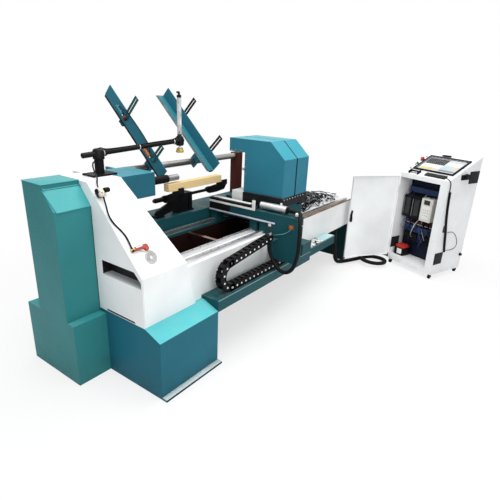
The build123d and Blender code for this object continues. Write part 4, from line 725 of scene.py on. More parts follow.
def ribbed_hose_tree():
    """A round section swept along a line, its radius rising and falling with every rib."""
    tree = Tree("ribbed_hose", Radius="Float", Rib_Depth="Float", Pitch="Float", Finish="Material")
    pitch = tree.given("Pitch")
    steps_per_rib, sides = 4.0, 14
    line = tree.put("GeometryNodeMeshToCurve", {"Mesh": tree.given("Geometry")}).outputs[0]
    even = tree.put("GeometryNodeResampleCurve", {
        "Curve": line, "Length": tree.math("DIVIDE", pitch, steps_per_rib)}, mode="LENGTH").outputs[0]
    along = tree.put("GeometryNodeSplineParameter").outputs["Length"]
    wave = tree.math("COSINE", tree.times(tree.math("DIVIDE", along, pitch), math.tau))
    dip = tree.times(tree.math("SUBTRACT", wave, 1.0), 0.5)
    radius = tree.math("ADD", tree.given("Radius"), tree.times(dip, tree.given("Rib_Depth")))
    section = tree.put("GeometryNodeCurvePrimitiveCircle", {"Resolution": sides, "Radius": 1.0}).outputs[0]
    tube = tree.put("GeometryNodeCurveToMesh", {
        "Curve": even, "Profile Curve": section, "Scale": radius, "Fill Caps": True}).outputs[0]
    smooth = tree.put("GeometryNodeSetShadeSmooth", {0: tube}).outputs[0]
    return tree.end(tree.painted(smooth, tree.given("Finish")))


def block_rows_tree():
    """Blocks for keys, fins and slats, in a frame's mm: columns along X and rows along Y."""
    tree = Tree("block_rows", Columns="Int", Rows="Int", Start="Vector", Step_X="Float", Step_Y="Float",
                Size="Vector", Finish="Material")
    columns = tree.given("Columns")
    count = tree.times(columns, tree.given("Rows"))
    index = tree.put("GeometryNodeInputIndex").outputs[0]
    column = tree.math("FLOORED_MODULO", index, columns)
    row = tree.math("FLOOR", tree.math("DIVIDE", index, columns))
    shift = tree.vector(tree.times(column, tree.given("Step_X")), tree.times(row, tree.given("Step_Y")))
    place = tree.put("ShaderNodeVectorMath", {0: tree.given("Start"), 1: shift}, operation="ADD").outputs[0]
    points = tree.put("GeometryNodePoints", {"Count": count, "Position": place}).outputs[0]
    block = tree.put("GeometryNodeMeshCube", {"Size": tree.given("Size")}).outputs["Mesh"]
    made = tree.put("GeometryNodeInstanceOnPoints", {"Points": points, "Instance": block}).outputs[0]
    real = tree.put("GeometryNodeRealizeInstances", {0: made}).outputs[0]
    return tree.end(tree.painted(real, tree.given("Finish")))


def loose_chip_tree():
    """Small blocks scattered on a face and turned at random from a fixed seed."""
    tree = Tree("loose_chips", Density="Float", Seed="Int", Size="Vector", Finish="Material")
    seed = tree.given("Seed")

    def drawn(low, high):
        node = tree.put("FunctionNodeRandomValue", {0: low, 1: high, "Seed": seed}, data_type="FLOAT_VECTOR")
        return node.outputs[0]

    marks = tree.put("GeometryNodeDistributePointsOnFaces", {
        "Mesh": tree.given("Geometry"), "Density": tree.given("Density"), "Seed": seed}).outputs["Points"]
    turn = drawn((-0.25, -0.25, 0.0), (0.25, 0.25, math.tau))
    spin = tree.put("FunctionNodeEulerToRotation", {0: turn}).outputs[0]
    grown = drawn((0.4, 0.4, 0.5), (1.3, 1.3, 1.2))
    block = tree.put("GeometryNodeMeshCube", {"Size": tree.given("Size")}).outputs["Mesh"]
    made = tree.put("GeometryNodeInstanceOnPoints", {
        "Points": marks, "Instance": block, "Rotation": spin, "Scale": grown}).outputs[0]
    real = tree.put("GeometryNodeRealizeInstances", {0: made}).outputs[0]
    return tree.end(tree.painted(real, tree.given("Finish")))


screw_tree = screw_head_tree()
chain_tree = chain_link_tree()
rib_tree = ribbed_hose_tree()
grid_tree = block_rows_tree()
chip_tree = loose_chip_tree()


def screws(places, way, radius, height, finish=bright_steel, socket=black_plastic):
    """Screw heads on points of the machine, in mm."""
    return screw_tree.run(spots(places, way), Head_Radius=radius * MM, Head_Height=height * MM,
                          Finish=finish, Socket_Finish=socket)


def rows(where, columns, count, start, step_x, step_y, size, finish):
    """A grid of blocks in a frame's mm."""
    mesh = grid_tree.run(bpy.data.meshes.new("seed"), Columns=columns, Rows=count, Start=start, Step_X=step_x,
                         Step_Y=step_y, Size=size, Finish=finish)
    mesh.transform(where)
    if where.determinant() < 0.0:
        mesh.flip_normals()
    return mesh


def chips(corners, z, density, seed, size, finish):
    """Chips lying on a level patch, in mm."""
    mesh = bpy.data.meshes.new("patch")
    mesh.from_pydata([(x * MM, y * MM, z * MM) for x, y in corners], [], [tuple(range(len(corners)))])
    sides = tuple(side * MM for side in size)
    return chip_tree.run(mesh, Density=density, Seed=seed, Size=sides, Finish=finish)


def circle(x, y, radius, start, end, steps):
    """Points of an arc, in degrees."""
    angles = [math.radians(start + (end - start) * i / steps) for i in range(steps + 1)]
    return [(x + radius * math.cos(a), y + radius * math.sin(a)) for a in angles]


# ---------------------------------------------------------------- tower, headstock and presser

UP = (0, 0, 1)

tower = Maker("tower_trim")
# top plate, and the dark joints beside and under the end panel
tower.block(-499, -258, -72, 143, 1260, 1264, tower_teal, 1.5)
tower.rod((-260.5, -168, 447), (-260.5, -168, 1118), 3.0, black_plastic, sides=10)
tower.block(-262.6, -260, -513, -248, 452, 463, black_plastic, 0.0)
# painted highlight along the top of the base's foot, and the foot's dark edge
tower.block(-261, 261, -769, -729.4, 14, 14.8, foot_top_highlight, 0.3)
tower.block(-261.5, 261.5, -771.3, -770.4, 1, 12.5, black_plastic, 0.0)
# air line from the presser's post to the filter unit
tower.wire([(-92, -6, 1350), (-112, -8, 1347), (-124, -16, 1325), (-135, -45, 1296), (-150, -90, 1281),
            (-190, -150, 1273), (-226, -196, 1247), (-232, -213, 1233)], 4.5, black_rubber)
tower.done("machine", "teal_paint")

lid = Maker("tower_lid_sheet", LID)
lid.slab([(-102, -84.3), (124, -79), (122, 66.3), (-121, 66.3)], 0.4, 4.4, "z", lid_highlight_teal, 1.2)
lid.block(120, 122, -78, 47, -9, 2, lid_highlight_teal, 0.4)
lid.rod((-107, 66.3, 4.4), (107, 66.3, 4.4), 4.0, tower_teal, sides=14)
lid.done("lid", "teal_paint", "tower_lid")

HUB_X = -64
PRESSER_X = 652
ARM_LEFT = Vector((-180, 0, 1389))
ARM_RIGHT = Vector((687, 0, 1435))
ARM_WAY = ARM_RIGHT - ARM_LEFT


def on_arm(x, y=0.0, rise=0.0):
    """A point by the presser arm's middle line."""
    return (x, y, ARM_LEFT.z + (x - ARM_LEFT.x) * ARM_WAY.z / ARM_WAY.x + rise)


arm = Maker("presser_arm_pipe")
arm.rod(ARM_LEFT, ARM_RIGHT, 17.0, arm_black, sides=32, bevel=3.0)
# hub on the post and knuckle over the rod, each with a ring on the pipe beside it
arm.turned((HUB_X, 0, 1360.2), UP,
           [(0, 34), (2, 36), (48, 36), (57, 33), (63, 26), (65.6, 16)], arm_black, 36)
arm.turned(on_arm(-26), ARM_WAY, [(0, 22), (1, 23), (13, 23), (14, 22)], arm_black, 32)
arm.turned((PRESSER_X, 0, 1396), UP,
           [(0, 23), (5, 29), (14, 32), (50, 32), (60, 29), (70, 22)], arm_black, 32)
arm.turned(on_arm(592), ARM_WAY, [(0, 20), (1, 22), (34, 25), (36, 24)], arm_black, 32)
# air line along the pipe and the ties that hold it
for tie_x in (-30, 258, 584):
    arm.turned(on_arm(tie_x), ARM_WAY, [(0, 17.5), (0.6, 18.8), (5.4, 18.8), (6, 17.5)], white_plastic, 28)
arm.wire([on_arm(-110, -8, 18), on_arm(-60, -16, 42), on_arm(-26, -10, 20), on_arm(110, -9, 17),
          on_arm(258, -9, 17), on_arm(420, -8, 19), on_arm(584, -9, 17), on_arm(612, -10, 32),
          (630, -18, 1478), (634, -15, 1500)], 3.2, black_rubber)
arm.done("swing_arm", "black_paint", "presser_arm")

TIE_ROD_CIRCLE = 14.6
air_ram = Maker("presser_air_cylinder")
air_ram.turned((PRESSER_X, 0, 1466), UP, [(0, 16), (1.5, 17), (14, 17), (16, 16)], dark_grey, 32)
air_ram.turned((PRESSER_X, 0, 1482), UP, [(0, 14), (258, 14)], worn_white, 32)
air_ram.turned((PRESSER_X, 0, 1740), UP, [(0, 16), (1.5, 17), (17, 17), (18, 16)], black_plastic, 32)
for quarter in range(4):
    angle = math.radians(45 + 90 * quarter)
    tie_x, tie_y = PRESSER_X + TIE_ROD_CIRCLE * math.cos(angle), TIE_ROD_CIRCLE * math.sin(angle)
    air_ram.rod((tie_x, tie_y, 1470), (tie_x, tie_y, 1756), 1.8, bright_steel, sides=8)
air_ram.turned((PRESSER_X, 0, 1757), UP,
               [(0, 8.5), (10, 8.5), (18, 7.5), (24, 6), (26, 3)], black_plastic, 20)
air_ram.rod((PRESSER_X, 0, 1776), (PRESSER_X, 21, 1776), 7.0, black_plastic, sides=18, bevel=1.2)
air_ram.done("swing_arm", "aluminium", "presser_cylinder")

ram_rod = Maker("presser_rod_and_pad")
ram_rod.rod((PRESSER_X, 0, 1376), (PRESSER_X, 0, 1728), 7.0, turned_steel, sides=20)
ram_rod.rod((PRESSER_X, 0, 1379), (PRESSER_X, 0, 1388), 12.0, bright_steel, sides=6, bevel=0.8)
ram_rod.turned((PRESSER_X, 0, 1344.4), UP,
               [(0, 25), (2, 29), (18, 29), (20, 24), (34, 24), (36, 20)], brass, 8)
ram_rod.done("presser", "brass", "presser_rod")

FILTER_X = -232
FILTER_RISE = 30
filter_unit = Maker("air_filter_unit", SLOPE)
filter_unit.block(-250, -214, 76, 116, 0.2, 12, cast_grey, 1.5)
# head, bowl and drain
filter_unit.turned((FILTER_X, 64, FILTER_RISE), (0, 1, 0),
                   [(0, 8), (3, 12), (5, 15), (13, 15), (14, 20), (30, 20), (31, 17)], cream_plastic)
filter_unit.turned((FILTER_X, 95, FILTER_RISE), (0, 1, 0),
                   [(0, 17), (3, 18.5), (20, 17), (26, 12)], worn_white)
filter_unit.turned((FILTER_X, 121, FILTER_RISE), (0, 1, 0), [(0, 9), (4, 9), (5, 6.5), (7, 6.5)], brass)
# knob, plug and the two studs on the front
filter_unit.turned((-213, 85, FILTER_RISE), (1, 0, 0),
                   [(0, 8), (8, 8), (9, 14), (12, 15), (40, 15), (44, 12)], black_plastic)
filter_unit.turned((-249, 85, FILTER_RISE), (-1, 0, 0),
                   [(0, 12), (2, 14.5), (9, 14.5), (10.5, 12)], black_plastic)
filter_unit.rod((-226, 101, 46), (-226, 101, 50), 5.0, brass, sides=12)
filter_unit.rod((-238, 108, 45), (-238, 108, 49), 4.0, red_plastic, sides=12)
filter_unit.done("machine", "white_plastic", "air_filter")

gun = Maker("air_gun_body", SLOPE)
# hose tail and brass end
gun.turned((-222, 470, 10), (0, 1, 0), [(0, 7), (9, 7), (10, 9.5), (25, 9.5)], black_plastic, 16)
gun.turned((-212, 483, 10), (-1, 0, 0), [(0, 10), (10, 10), (11, 7.5), (20, 7.5), (23, 5)], brass, 16)
# body with its grip, pale inlay and trigger
gun.slab([(-213, 473), (-176, 471), (-121, 471), (-115.5, 477), (-115.5, 504), (-120, 509.5), (-138, 509.5),
          (-141, 505), (-143, 497), (-176, 495), (-213, 493)], 1.0, 19.0, "z", gun_red, 3.0)
gun.slab([(-200, 474), (-152, 473), (-150, 480), (-198, 482)], 18.4, 20.0, "z", white_plastic, 0.5)
gun.slab([(-170, 496), (-164, 496), (-150, 508), (-155, 509.4)], 6.0, 14.0, "z", white_plastic, 0.8)
gun.done("machine", "red_plastic", "air_gun")


# ---------------------------------------------------------------- loader

LEFT_FACE = 521
RIGHT_FACE = 1145
LOWER_GATE = 150
UPPER_GATE = 565
CYLINDER_GAP = 36
CYLINDER_LENGTH = 84
CAP_LENGTH = 11

fittings = Maker("gate_air_cylinders", LOADER)
for gate_at, cylinder_x, body_finish, face_x in (
        (LOWER_GATE, 503, orange_plastic, LEFT_FACE), (UPPER_GATE, 503, channel_teal, LEFT_FACE),
        (LOWER_GATE, 1163, dark_grey, RIGHT_FACE), (UPPER_GATE, 1163, dark_grey, RIGHT_FACE)):
    start = gate_at + CYLINDER_GAP
    end = start + CYLINDER_LENGTH
    side = 1 if face_x > cylinder_x else -1
    near, far = sorted((cylinder_x, face_x - side * 0.3))
    cap_finish = black_plastic if body_finish == dark_grey else body_finish
    for a, b, radius, finish, bevel in (
            (start, start + CAP_LENGTH, 13.0, cap_finish, 1.0),
            (start + CAP_LENGTH, end - CAP_LENGTH, 11.5, body_finish, 0.0),
            (end - CAP_LENGTH, end, 13.0, cap_finish, 1.0)):
        fittings.rod((a, 0, cylinder_x), (b, 0, cylinder_x), radius, finish, sides=20, bevel=bevel)
    fittings.rod((gate_at + 20, 0, cylinder_x), (start, 0, cylinder_x), 4.0, bright_steel, sides=12)
    for foot in (start + 6, start + 78):
        fittings.block(foot - 5, foot + 5, -8, 8, near, far, black_plastic, 0.8)
    for port in (start + 18, start + 66):
        fittings.rod((port, 11, cylinder_x), (port, 21, cylinder_x), 4.0, brass, sides=6)
# switch at the upper finger and the air line between the left cylinders
fittings.block(544, 566, -14, 10, 498, 513.8, oxblood, 3.0)
fittings.block(556, 573, -6, 12, 500, 513.8, red_plastic, 3.0)
fittings.wire([(204, 20, 503), (204, 42, 500), (240, 55, 505), (300, 62, 512), (420, 60, 514), (560, 58, 512),
               (612, 44, 505), (619, 22, 503)], 3.0, black_rubber)
# runners under the channels, a block under the left one, and on the right channel a painted highlight along
# an edge and a rusty strip
fittings.block(1, 851, -71, -50.4, 1098.5, 1142, black_plastic, 1.0)
fittings.block(1, 851, -71, -50.4, 524.5, 567.5, black_plastic, 1.0)
fittings.block(560, 615, -96, -70.5, 528, 566, shaded_teal, 3.0)
fittings.block(4, 848, -50.2, -45.6, 1056, 1062, edge_highlight, 0.4)
fittings.block(4, 848, -45.2, -44.2, 1064, 1078, rust_brown, 0.2)
fittings.done("machine", "black_plastic", "gate_cylinders")

PLATE_FOOT = 846.2
plates = Maker("lifter_side_plates")
plates.slab([(498, PLATE_FOOT), (494, 886), (560, 912), (744, 972), (744, 880), (566, PLATE_FOOT)],
            97, 121.8, "y", black_enamel, 2.0)
plates.slab([(700, PLATE_FOOT), (716, 930), (744.8, 985), (744.8, PLATE_FOOT)],
            100, 170, "y", black_enamel, 2.0)
plates.done("machine", "black_paint")

clamps = Maker("lifter_blank_clamps")
for clamp_x in (586, 1116):
    clamps.slab([(160, 953), (160, 978), (18, 1037.4), (-48, 1037.4), (-24, 990), (60, 952), (108, 938)],
                clamp_x, clamp_x + 52, "x", black_enamel, 2.0)
clamps.turned((500, 135, 965), (1, 0, 0), [(0, 15), (3, 19), (236, 19), (239, 17)], black_enamel, 24)
clamps.done("lifter", "black_paint")


# ---------------------------------------------------------------- bed and tray

RAIL_TOP = 748.02
RAIL_LINES = (-531, -432, 0)
RIB_FIRST = 690
RIB_PITCH = 575
TRAY_TOP = 470.8

bed = Maker("bed_fittings")
# rail screws on both sides of the carriage
bed.add(screws([(x, y, RAIL_TOP) for x in range(330, 1000, 80) for y in RAIL_LINES]
               + [(x, y, RAIL_TOP) for x in range(1610, 2680, 80) for y in RAIL_LINES],
               UP, 6.5, 0.3, dark_grey, black_plastic))
# paint on the cross ribs, rust beside the front rail and painted highlights along the tray's edges
for rib in range(4):
    left = RIB_FIRST + RIB_PITCH * rib
    bed.block(left + 0.5, left + 33.5, -330, -190, 699.5, 701.2, rib_paint, 0.5)
bed.block(1580, 2797, -575.5, -547, 719.8, 720.7, rust_brown, 0.2)
bed.block(262.5, 1556, -729.6, -727, 465, TRAY_TOP, edge_highlight, 0.3)
bed.block(1557.5, 2149, -690.6, -688, 465, TRAY_TOP, edge_highlight, 0.3)
# chips and a pale sheet on the tray's far end
for x_end, y_front, y_back, z, density, seed, size, finish in (
        (1900, -680, -590, 472, 900, 3, (26, 9, 5), saw_chip),
        (1860, -684, -600, 474, 2600, 5, (30, 8, 5), black_plastic),
        (1880, -682, -596, 477, 3600, 8, (30, 14, 5), white_plastic)):
    patch = [(1600, y_front), (x_end, y_front), (x_end, y_back), (1600, y_back)]
    bed.add(chips(patch, z, density, seed, size, finish))
bed.slab([(1905, -684), (2146, -684), (2146, -580), (1930, -580), (1912, -630)],
         471, 473, "z", pale_sheet, 0.6)
bed.done("machine", "ground_steel")


# the drag chain's line, in metres
CHAIN_Y = -0.671
CHAIN_LOW = 0.497
BEND_X = 0.448
BEND_Z = 0.590
BEND_RADIUS = 0.093


def chain_piece(name, points):
    """Links along one run of the drag chain."""
    mesh = chain_tree.run(line_mesh(points), Pitch=0.051, Width=0.058, Height=0.050, Finish=chain_plastic,
                          Pin_Finish=white_plastic)
    mesh.name = name
    mesh.set_sharp_from_angle(angle=SHARP_ANGLE)
    piece = bpy.data.objects.new(name, mesh)
    scene.collection.objects.link(piece)
    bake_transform(piece)
    return piece


bend_line = [(BEND_X + x, CHAIN_Y, BEND_Z + z) for x, z in circle(0.0, 0.0, BEND_RADIUS, -90.0, -263.0, 24)]
low_run = chain_piece("drag_chain_lower_run", [(1.388, CHAIN_Y, CHAIN_LOW), (0.454, CHAIN_Y, CHAIN_LOW)])
chain_piece("drag_chain_bend", bend_line)
chain_piece("drag_chain_upper_run", [(0.4367, CHAIN_Y, 0.6823), (0.915, CHAIN_Y, 0.7410)])
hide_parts("drag_chain")


# ---------------------------------------------------------------- carriage

saddle = Maker("carriage_fittings")
# way cover: its black and white strips
saddle.block(1033, 1037, -452, 27, 903, 925, black_plastic, 0.6)
saddle.block(1032.6, 1037.4, -452, 27, 924.6, 932, black_plastic, 0.8)
saddle.block(1031.6, 1036.4, -452, 27, 897, 915, white_plastic, 0.8)
saddle.block(1031.4, 1038.4, -458, -428, 897, 982, white_plastic, 0.8)
saddle.block(1037.5, 1122, -448, 25, 929, 930.4, black_plastic, 0.5)
saddle.block(1074, 1122, -385, 25, 930.2, 932, white_plastic, 0.4)
# saddle's left face: dark panel, pale ledge and a small block
saddle.block(1032, 1033.9, -200, 27, 840, 904, black_plastic, 0.4)
saddle.block(1026, 1033.8, -657, 23, 826, 837.5, lavender_grey, 0.8)
saddle.block(1028, 1034.2, -622, -598, 800, 822, white_plastic, 1.0)
# switch at the front with its lead, and the pale cap beside the conduit
saddle.block(1030, 1044, -832, -783, 812, 850, rust_brown, 3.0)
saddle.turned((1030, -808, 832), (-1, 0, 0), [(0, 15), (5, 15), (6, 12), (9, 12)], orange_plastic, 18)
saddle.wire([(1032, -806, 812), (1024, -770, 775), (1022, -704, 753), (1024, -650, 735), (1030, -611, 722)],
            3.0, pale_teal_wire)
saddle.turned((1066, -868, 931), (0, 1, 0),
              [(0, 9), (2, 14), (30, 16), (44, 16), (46, 12)], cream_plastic, 18)
saddle.done("carriage", "white_plastic")

FEED_X = 1098
FEED_Z = 941
feed = Maker("cross_feed_motor")
for y0, y1, radius, finish, bevel in (
        (-722, -478, 30.0, anodised, 0.0), (-478, -464, 29.0, black_plastic, 2.0),
        (-730, -722, 28.0, black_plastic, 2.0)):
    feed.rod((FEED_X, y0, FEED_Z), (FEED_X, y1, FEED_Z), radius, finish, sides=32, bevel=bevel)
feed.turned((FEED_X, -746, FEED_Z), (0, 1, 0),
            [(0, 13), (2, 15), (10, 16), (11, 25), (16, 26)], black_plastic, 24)
for foot_y in (-714, -496):
    feed.block(1066, 1130, foot_y, foot_y + 16, 905.2, 930, cast_grey, 1.0)
feed.rod((FEED_X, -664, 970), (FEED_X, -664, 986), 9.0, white_plastic, sides=16, bevel=1.5)
feed.done("carriage", "aluminium", "cross_motor")

GAP_LEFT = 1370
GAP_RIGHT = 1382
HOOD_FRONT = -623.4
HOOD_TOP = 1435.4
HOOD_LEFT = 1177.9
hood = Maker("hood_fittings")
# dark gap between the hood's halves: top, front and slope
hood.block(GAP_LEFT, GAP_RIGHT, -478, -90, 1402, HOOD_TOP, black_plastic, 0.0)
hood.block(GAP_LEFT, GAP_RIGHT, HOOD_FRONT, -600, 1000.4, 1306, black_plastic, 0.0)
hood.slab([(HOOD_FRONT, 1306), (-600, 1300), (-478, 1412), (-478, HOOD_TOP), (-482, HOOD_TOP)],
          GAP_LEFT, GAP_RIGHT, "x", black_plastic, 0.0)
# screws of the left side and of the front edge, and the foot strip
hood.add(screws([(HOOD_LEFT, -240, z) for z in (1030, 1090, 1150, 1210, 1270, 1318)]
                + [(HOOD_LEFT, y, 1340) for y in (-190, -130, -90)], (-1, 0, 0), 4.5, 2.4))
hood.add(screws([(1205 + 44 * i, -625.2, 985) for i in range(8)], (0, -1, 0), 6.0, 3.0))
hood.block(1160.5, 1176, -618, -420, 1000.2, 1006, dark_grey, 1.0)
hood.done("cross_slide", "black_plastic")

# the heap of loose wiring: the box that holds it, and how it thins out along the bed
HEAP_X = (1582, 2532)
HEAP_Y = (-539, -258)
HEAP_FLOOR = 775
HEAP_PEAK_X = 1640
HEAP_PEAK = 884
HEAP_FALL = 0.085


def within(value, low, high):
    """A value kept between two limits."""
    return min(high, max(low, value))


random.seed(11)
tangle = Maker("trailing_wires")
tangle.block(1576, 2540, -545, -250, 766, 770, white_enamel, 1.0)
tangle.block(1576, 1600, -520, -300, 766, 812, black_plastic, 1.0)
for strand in range(130):
    x = 1585 + random.random() ** 1.5 * 860
    points = []
    y = -538 + random.random() * 280
    z = 776 + random.random() * 60
    for step in range(9):
        points.append((x, y, z))
        x = within(x + (random.random() - 0.45) * 130, *HEAP_X)
        y = within(y + (random.random() - 0.5) * 130, *HEAP_Y)
        heap_top = HEAP_PEAK - HEAP_FALL * abs(x - HEAP_PEAK_X)
        z = within(z + (random.random() - 0.46) * 64, HEAP_FLOOR, heap_top)
    pick = random.random()
    strand_finish = black_rubber if pick < 0.84 else grey_plastic if pick < 0.92 else white_plastic
    tangle.wire(points, 2.6 + 2.6 * random.random(), strand_finish, 4, 1)
tangle.done("carriage", "black_rubber")


# ---------------------------------------------------------------- console

SHEET = 0.1
desk = Maker("console_screen_and_keys", CONSOLE)
# screen: its frame, glass and fields
for s0, s1, t0, t1 in ((62, 543, 105, 123), (62, 543, 398, 416), (62, 80, 123, 398), (525, 543, 123, 398)):
    desk.block(s0, s1, t0, t1, SHEET, 14, black_plastic, 2.0)
desk.block(78, 527, 121, 400, SHEET, 9.6, screen_glass, 0.0)
for s0, s1, t0, t1, finish in (
        (82, 523, 372, 396, screen_dark), (82, 104, 126, 370, screen_dark), (108, 338, 252, 366, screen_dark),
        (107, 300, 140, 168, yellow_plastic), (452, 500, 228, 248, yellow_plastic),
        (345, 512, 258, 322, white_plastic), (107, 334, 180, 246, white_plastic),
        (345, 440, 180, 246, pale_sheet), (345, 512, 140, 168, grey_plastic)):
    desk.block(s0, s1, t0, t1, 9.4, 9.9, finish, 0.0)
for columns, count, start, step_x, step_y, size, finish in (
        (8, 4, (128, 268, 10.1), 27, 22, (20, 13, 0.8), dark_grey),
        (8, 4, (128, 268, 10.6), 27, 22, (9, 3, 0.4), worn_white),
        (10, 1, (104, 383, 10.1), 42, 20, (32, 12, 0.8), grey_plastic),
        (6, 2, (362, 277, 10.1), 28, 26, (18, 3, 0.8), screen_dark),
        (1, 9, (93, 142, 10.1), 10, 26, (14, 14, 0.8), grey_plastic)):
    desk.add(rows(CONSOLE, columns, count, start, step_x, step_y, size, finish))
# keyboard and the plate above it
desk.block(270, 510, 20, 76, SHEET, 9, black_plastic, 3.0)
desk.add(rows(CONSOLE, 15, 4, (280, 28, 10.6), 15.7, 13.2, (12.4, 10.4, 4.6), dark_grey))
desk.block(320, 440, 78, 98, SHEET, 1.2, white_plastic, 0.3)
# pull handle beside the keyboard and the block over the screen
desk.block(80, 92, 12, 72, SHEET, 26, black_plastic, 2.0)
desk.block(188, 200, 12, 72, SHEET, 26, black_plastic, 2.0)
desk.block(80, 200, 30, 54, 18, 27, black_plastic, 3.0)
desk.block(181, 284, 440, 462, SHEET, 12, black_plastic, 2.0)
# knobs, and the rings under the stop and start buttons
for s, t, radius, finish in (
        (30, 110, 8, black_plastic), (27, 196, 7, grey_plastic), (29, 388, 8, grey_plastic)):
    desk.turned((s, t, SHEET), UP, [(0, radius), (5, radius), (7, radius - 2)], finish, 18)
for t, radius in ((311, 24), (223, 15)):
    desk.turned((32, t, SHEET), UP, [(0, radius), (1.5, radius), (2.5, radius - 2)], dark_grey, 24)
desk.done("machine", "black_plastic", "console_panel")


# ---------------------------------------------------------------- cabinet

CASE_SIDE = 576.1
case = Maker("cabinet_side_fittings", CABINET)
# black box with a grip, beside the console
case.block(CASE_SIDE, 588, 188, 327, 1060, 1112, black_plastic, 3.0)
case.block(588, 606, 230, 262, 1066, 1124, black_plastic, 5.0)
# two vents on the side and one inside the other wall, each with nine slats, and a gland
for d0, d1, z0, z1 in ((335, 500, 1012, 1138), (10, 145, 167, 296)):
    case.block(CASE_SIDE, 580, d0, d1, z0, z1, black_plastic, 1.5)
    case.add(rows(SIDE_FACE, 1, 9, ((d0 + d1) / 2, z0 + 14, 580.6), 10, (z1 - z0 - 28) / 8,
                  (d1 - d0 - 24, 5.0, 2.0), dark_grey))
case.block(3.1, 6, 10, 145, 185, 310, black_plastic, 1.0)
case.add(rows(SIDE_FACE, 1, 9, (77, 199, 6.6), 10, 12.2, (111, 5.0, 2.0), dark_grey))
case.turned((CASE_SIDE, 474, 217), (1, 0, 0),
            [(0, 17), (8, 17), (9, 13), (22, 12), (24, 9)], black_plastic, 20)
# keyboard lead, thick sleeve, thin lead and the box that the sleeve passes
case.wire([(530, -10, 1090), (560, 0, 1082), (586, 20, 1050), (584, 28, 1000), (582, 32, 948)],
          4.5, black_rubber)
case.wire([(588, 32, 952), (588, 40, 820), (588, 70, 640), (588, 92, 560), (588, 110, 470), (588, 131, 365),
           (585, 150, 300)], 12.0, black_rubber)
case.wire([(583, 142, 508), (580, 200, 520), (579, 300, 480), (579, 376, 362), (579, 350, 315),
           (579, 306, 303), (579, 230, 300), (581, 160, 312)], 2.5, black_rubber)
case.block(CASE_SIDE, 586, 58, 107, 524, 596, dark_grey, 3.0)
case.done("machine", "black_plastic")

PLATE_FACE = 200
FLOOR_TOP = 112
inside = Maker("cabinet_equipment_rack", CABINET)
# floor sheet and the plate that holds the equipment, with its lighter parts
inside.block(3.2, 572.8, 3.2, 500.8, 100.2, FLOOR_TOP, white_enamel, 0.6)
inside.block(12, 564, PLATE_FACE, 212, FLOOR_TOP, 996, navy, 0.6)
inside.block(12, 564, 198.6, 200.4, 400, 560, plate_blue, 0.3)
inside.block(420, 564, 198.6, 200.4, FLOOR_TOP, 400, plate_blue, 0.3)
# two drives with their fins
for left, right in ((20, 120), (128, 235)):
    inside.block(left, right, 97, PLATE_FACE, 567, 803, black_plastic, 2.5)
    inside.block(left + 8, left + 14, 95.4, 97.4, 590, 780, grey_plastic, 0.4)
    inside.block(left + 34, right - 12, 94.6, 97.4, 600, 785, dark_grey, 1.0)
inside.add(rows(FRONT_FACE, 12, 1, (24, 806, 150), 8, 10, (3, 6, 90), dark_grey))
inside.add(rows(FRONT_FACE, 12, 1, (132, 806, 150), 8.4, 10, (3, 6, 90), dark_grey))
# inverter with its panel, display and keys
inside.block(262, 400, 72, PLATE_FACE, 572, 822, cream_plastic, 5.0)
inside.block(282, 380, 69.6, 72.4, 600, 745, white_plastic, 1.5)
inside.block(296, 366, 68.6, 72.6, 758, 806, screen_dark, 1.0)
inside.add(rows(FRONT_FACE, 3, 3, (306, 640, 69.0), 25, 30, (9, 7, 1.6), grey_plastic))
# wiring ducts
for z0, z1, d0 in ((852, 904, 142), (402, 468, 152)):
    inside.block(44, 516, d0, PLATE_FACE, z0, z1, trunk_blue, 1.0)
    inside.add(rows(FRONT_FACE, 30, 1, (56, (z0 + z1) / 2, d0 - 0.6), 15.4, 10, (5, z1 - z0 - 12, 1.6),
                    black_plastic))
# relays, contactors, transformer and terminals
for left, finish in (
        (60, oxblood), (118, black_plastic), (176, oxblood), (226, oxblood), (290, black_plastic),
        (350, oxblood), (404, black_plastic)):
    inside.block(left, left + 46, 160, PLATE_FACE, 480, 545, finish, 1.5)
    inside.add(rows(FRONT_FACE, 3, 1, (left + 9, 497, 159.4), 14, 10, (7, 9, 1.6), worn_white))
for left, finish in ((60, black_plastic), (150, black_plastic), (240, navy), (330, black_plastic)):
    inside.block(left, left + 80, 140, PLATE_FACE, 300, 385, finish, 2.0)
inside.block(30, 150, 60, 180, 112.2, 200, black_plastic, 3.0)
inside.block(34, 146, 64, 176, 199, 231.6, red_plastic, 6.0)
inside.block(66, 128, 58.8, 60.4, 130, 190, white_plastic, 0.4)
for low in (250, 190, 130):
    inside.block(430, 540, 150, PLATE_FACE, low, low + 44, trunk_blue, 1.5)
inside.block(500, 512, 140, 152, 262, 290, yellow_green, 1.0)
# loose wires between the rows
random.seed(23)
for strand in range(34):
    w = 50 + random.random() * 380
    top = random.choice((560, 470, 850))
    end_w = within(w + (random.random() - 0.5) * 220, 30, 500)
    low = top - 90 - random.random() * 170
    out = 90 + random.random() * 60
    pick = random.random()
    strand_finish = (black_rubber if pick < 0.55 else oxblood if pick < 0.68
                     else trunk_blue if pick < 0.96 else worn_white)
    inside.wire([(w, 165, top), (w, out, top - 20), ((w + end_w) / 2, out - 15, (top + low) / 2),
                 (end_w, out, low + 20), (end_w, 175, low)], 2.6 + 1.4 * random.random(), strand_finish, 4, 1)
inside.done("machine", "blue_plate", "cabinet_equipment")

lock = Maker("door_lock_box", DOOR)
lock.slab([(528, 520), (534, 516), (552, 516), (556, 522), (556, 600), (548, 640), (536, 645), (530, 636),
           (536, 590), (530, 560)], 0.3, 9.0, "y", black_plastic, 2.0)
lock.done("door", "black_plastic")

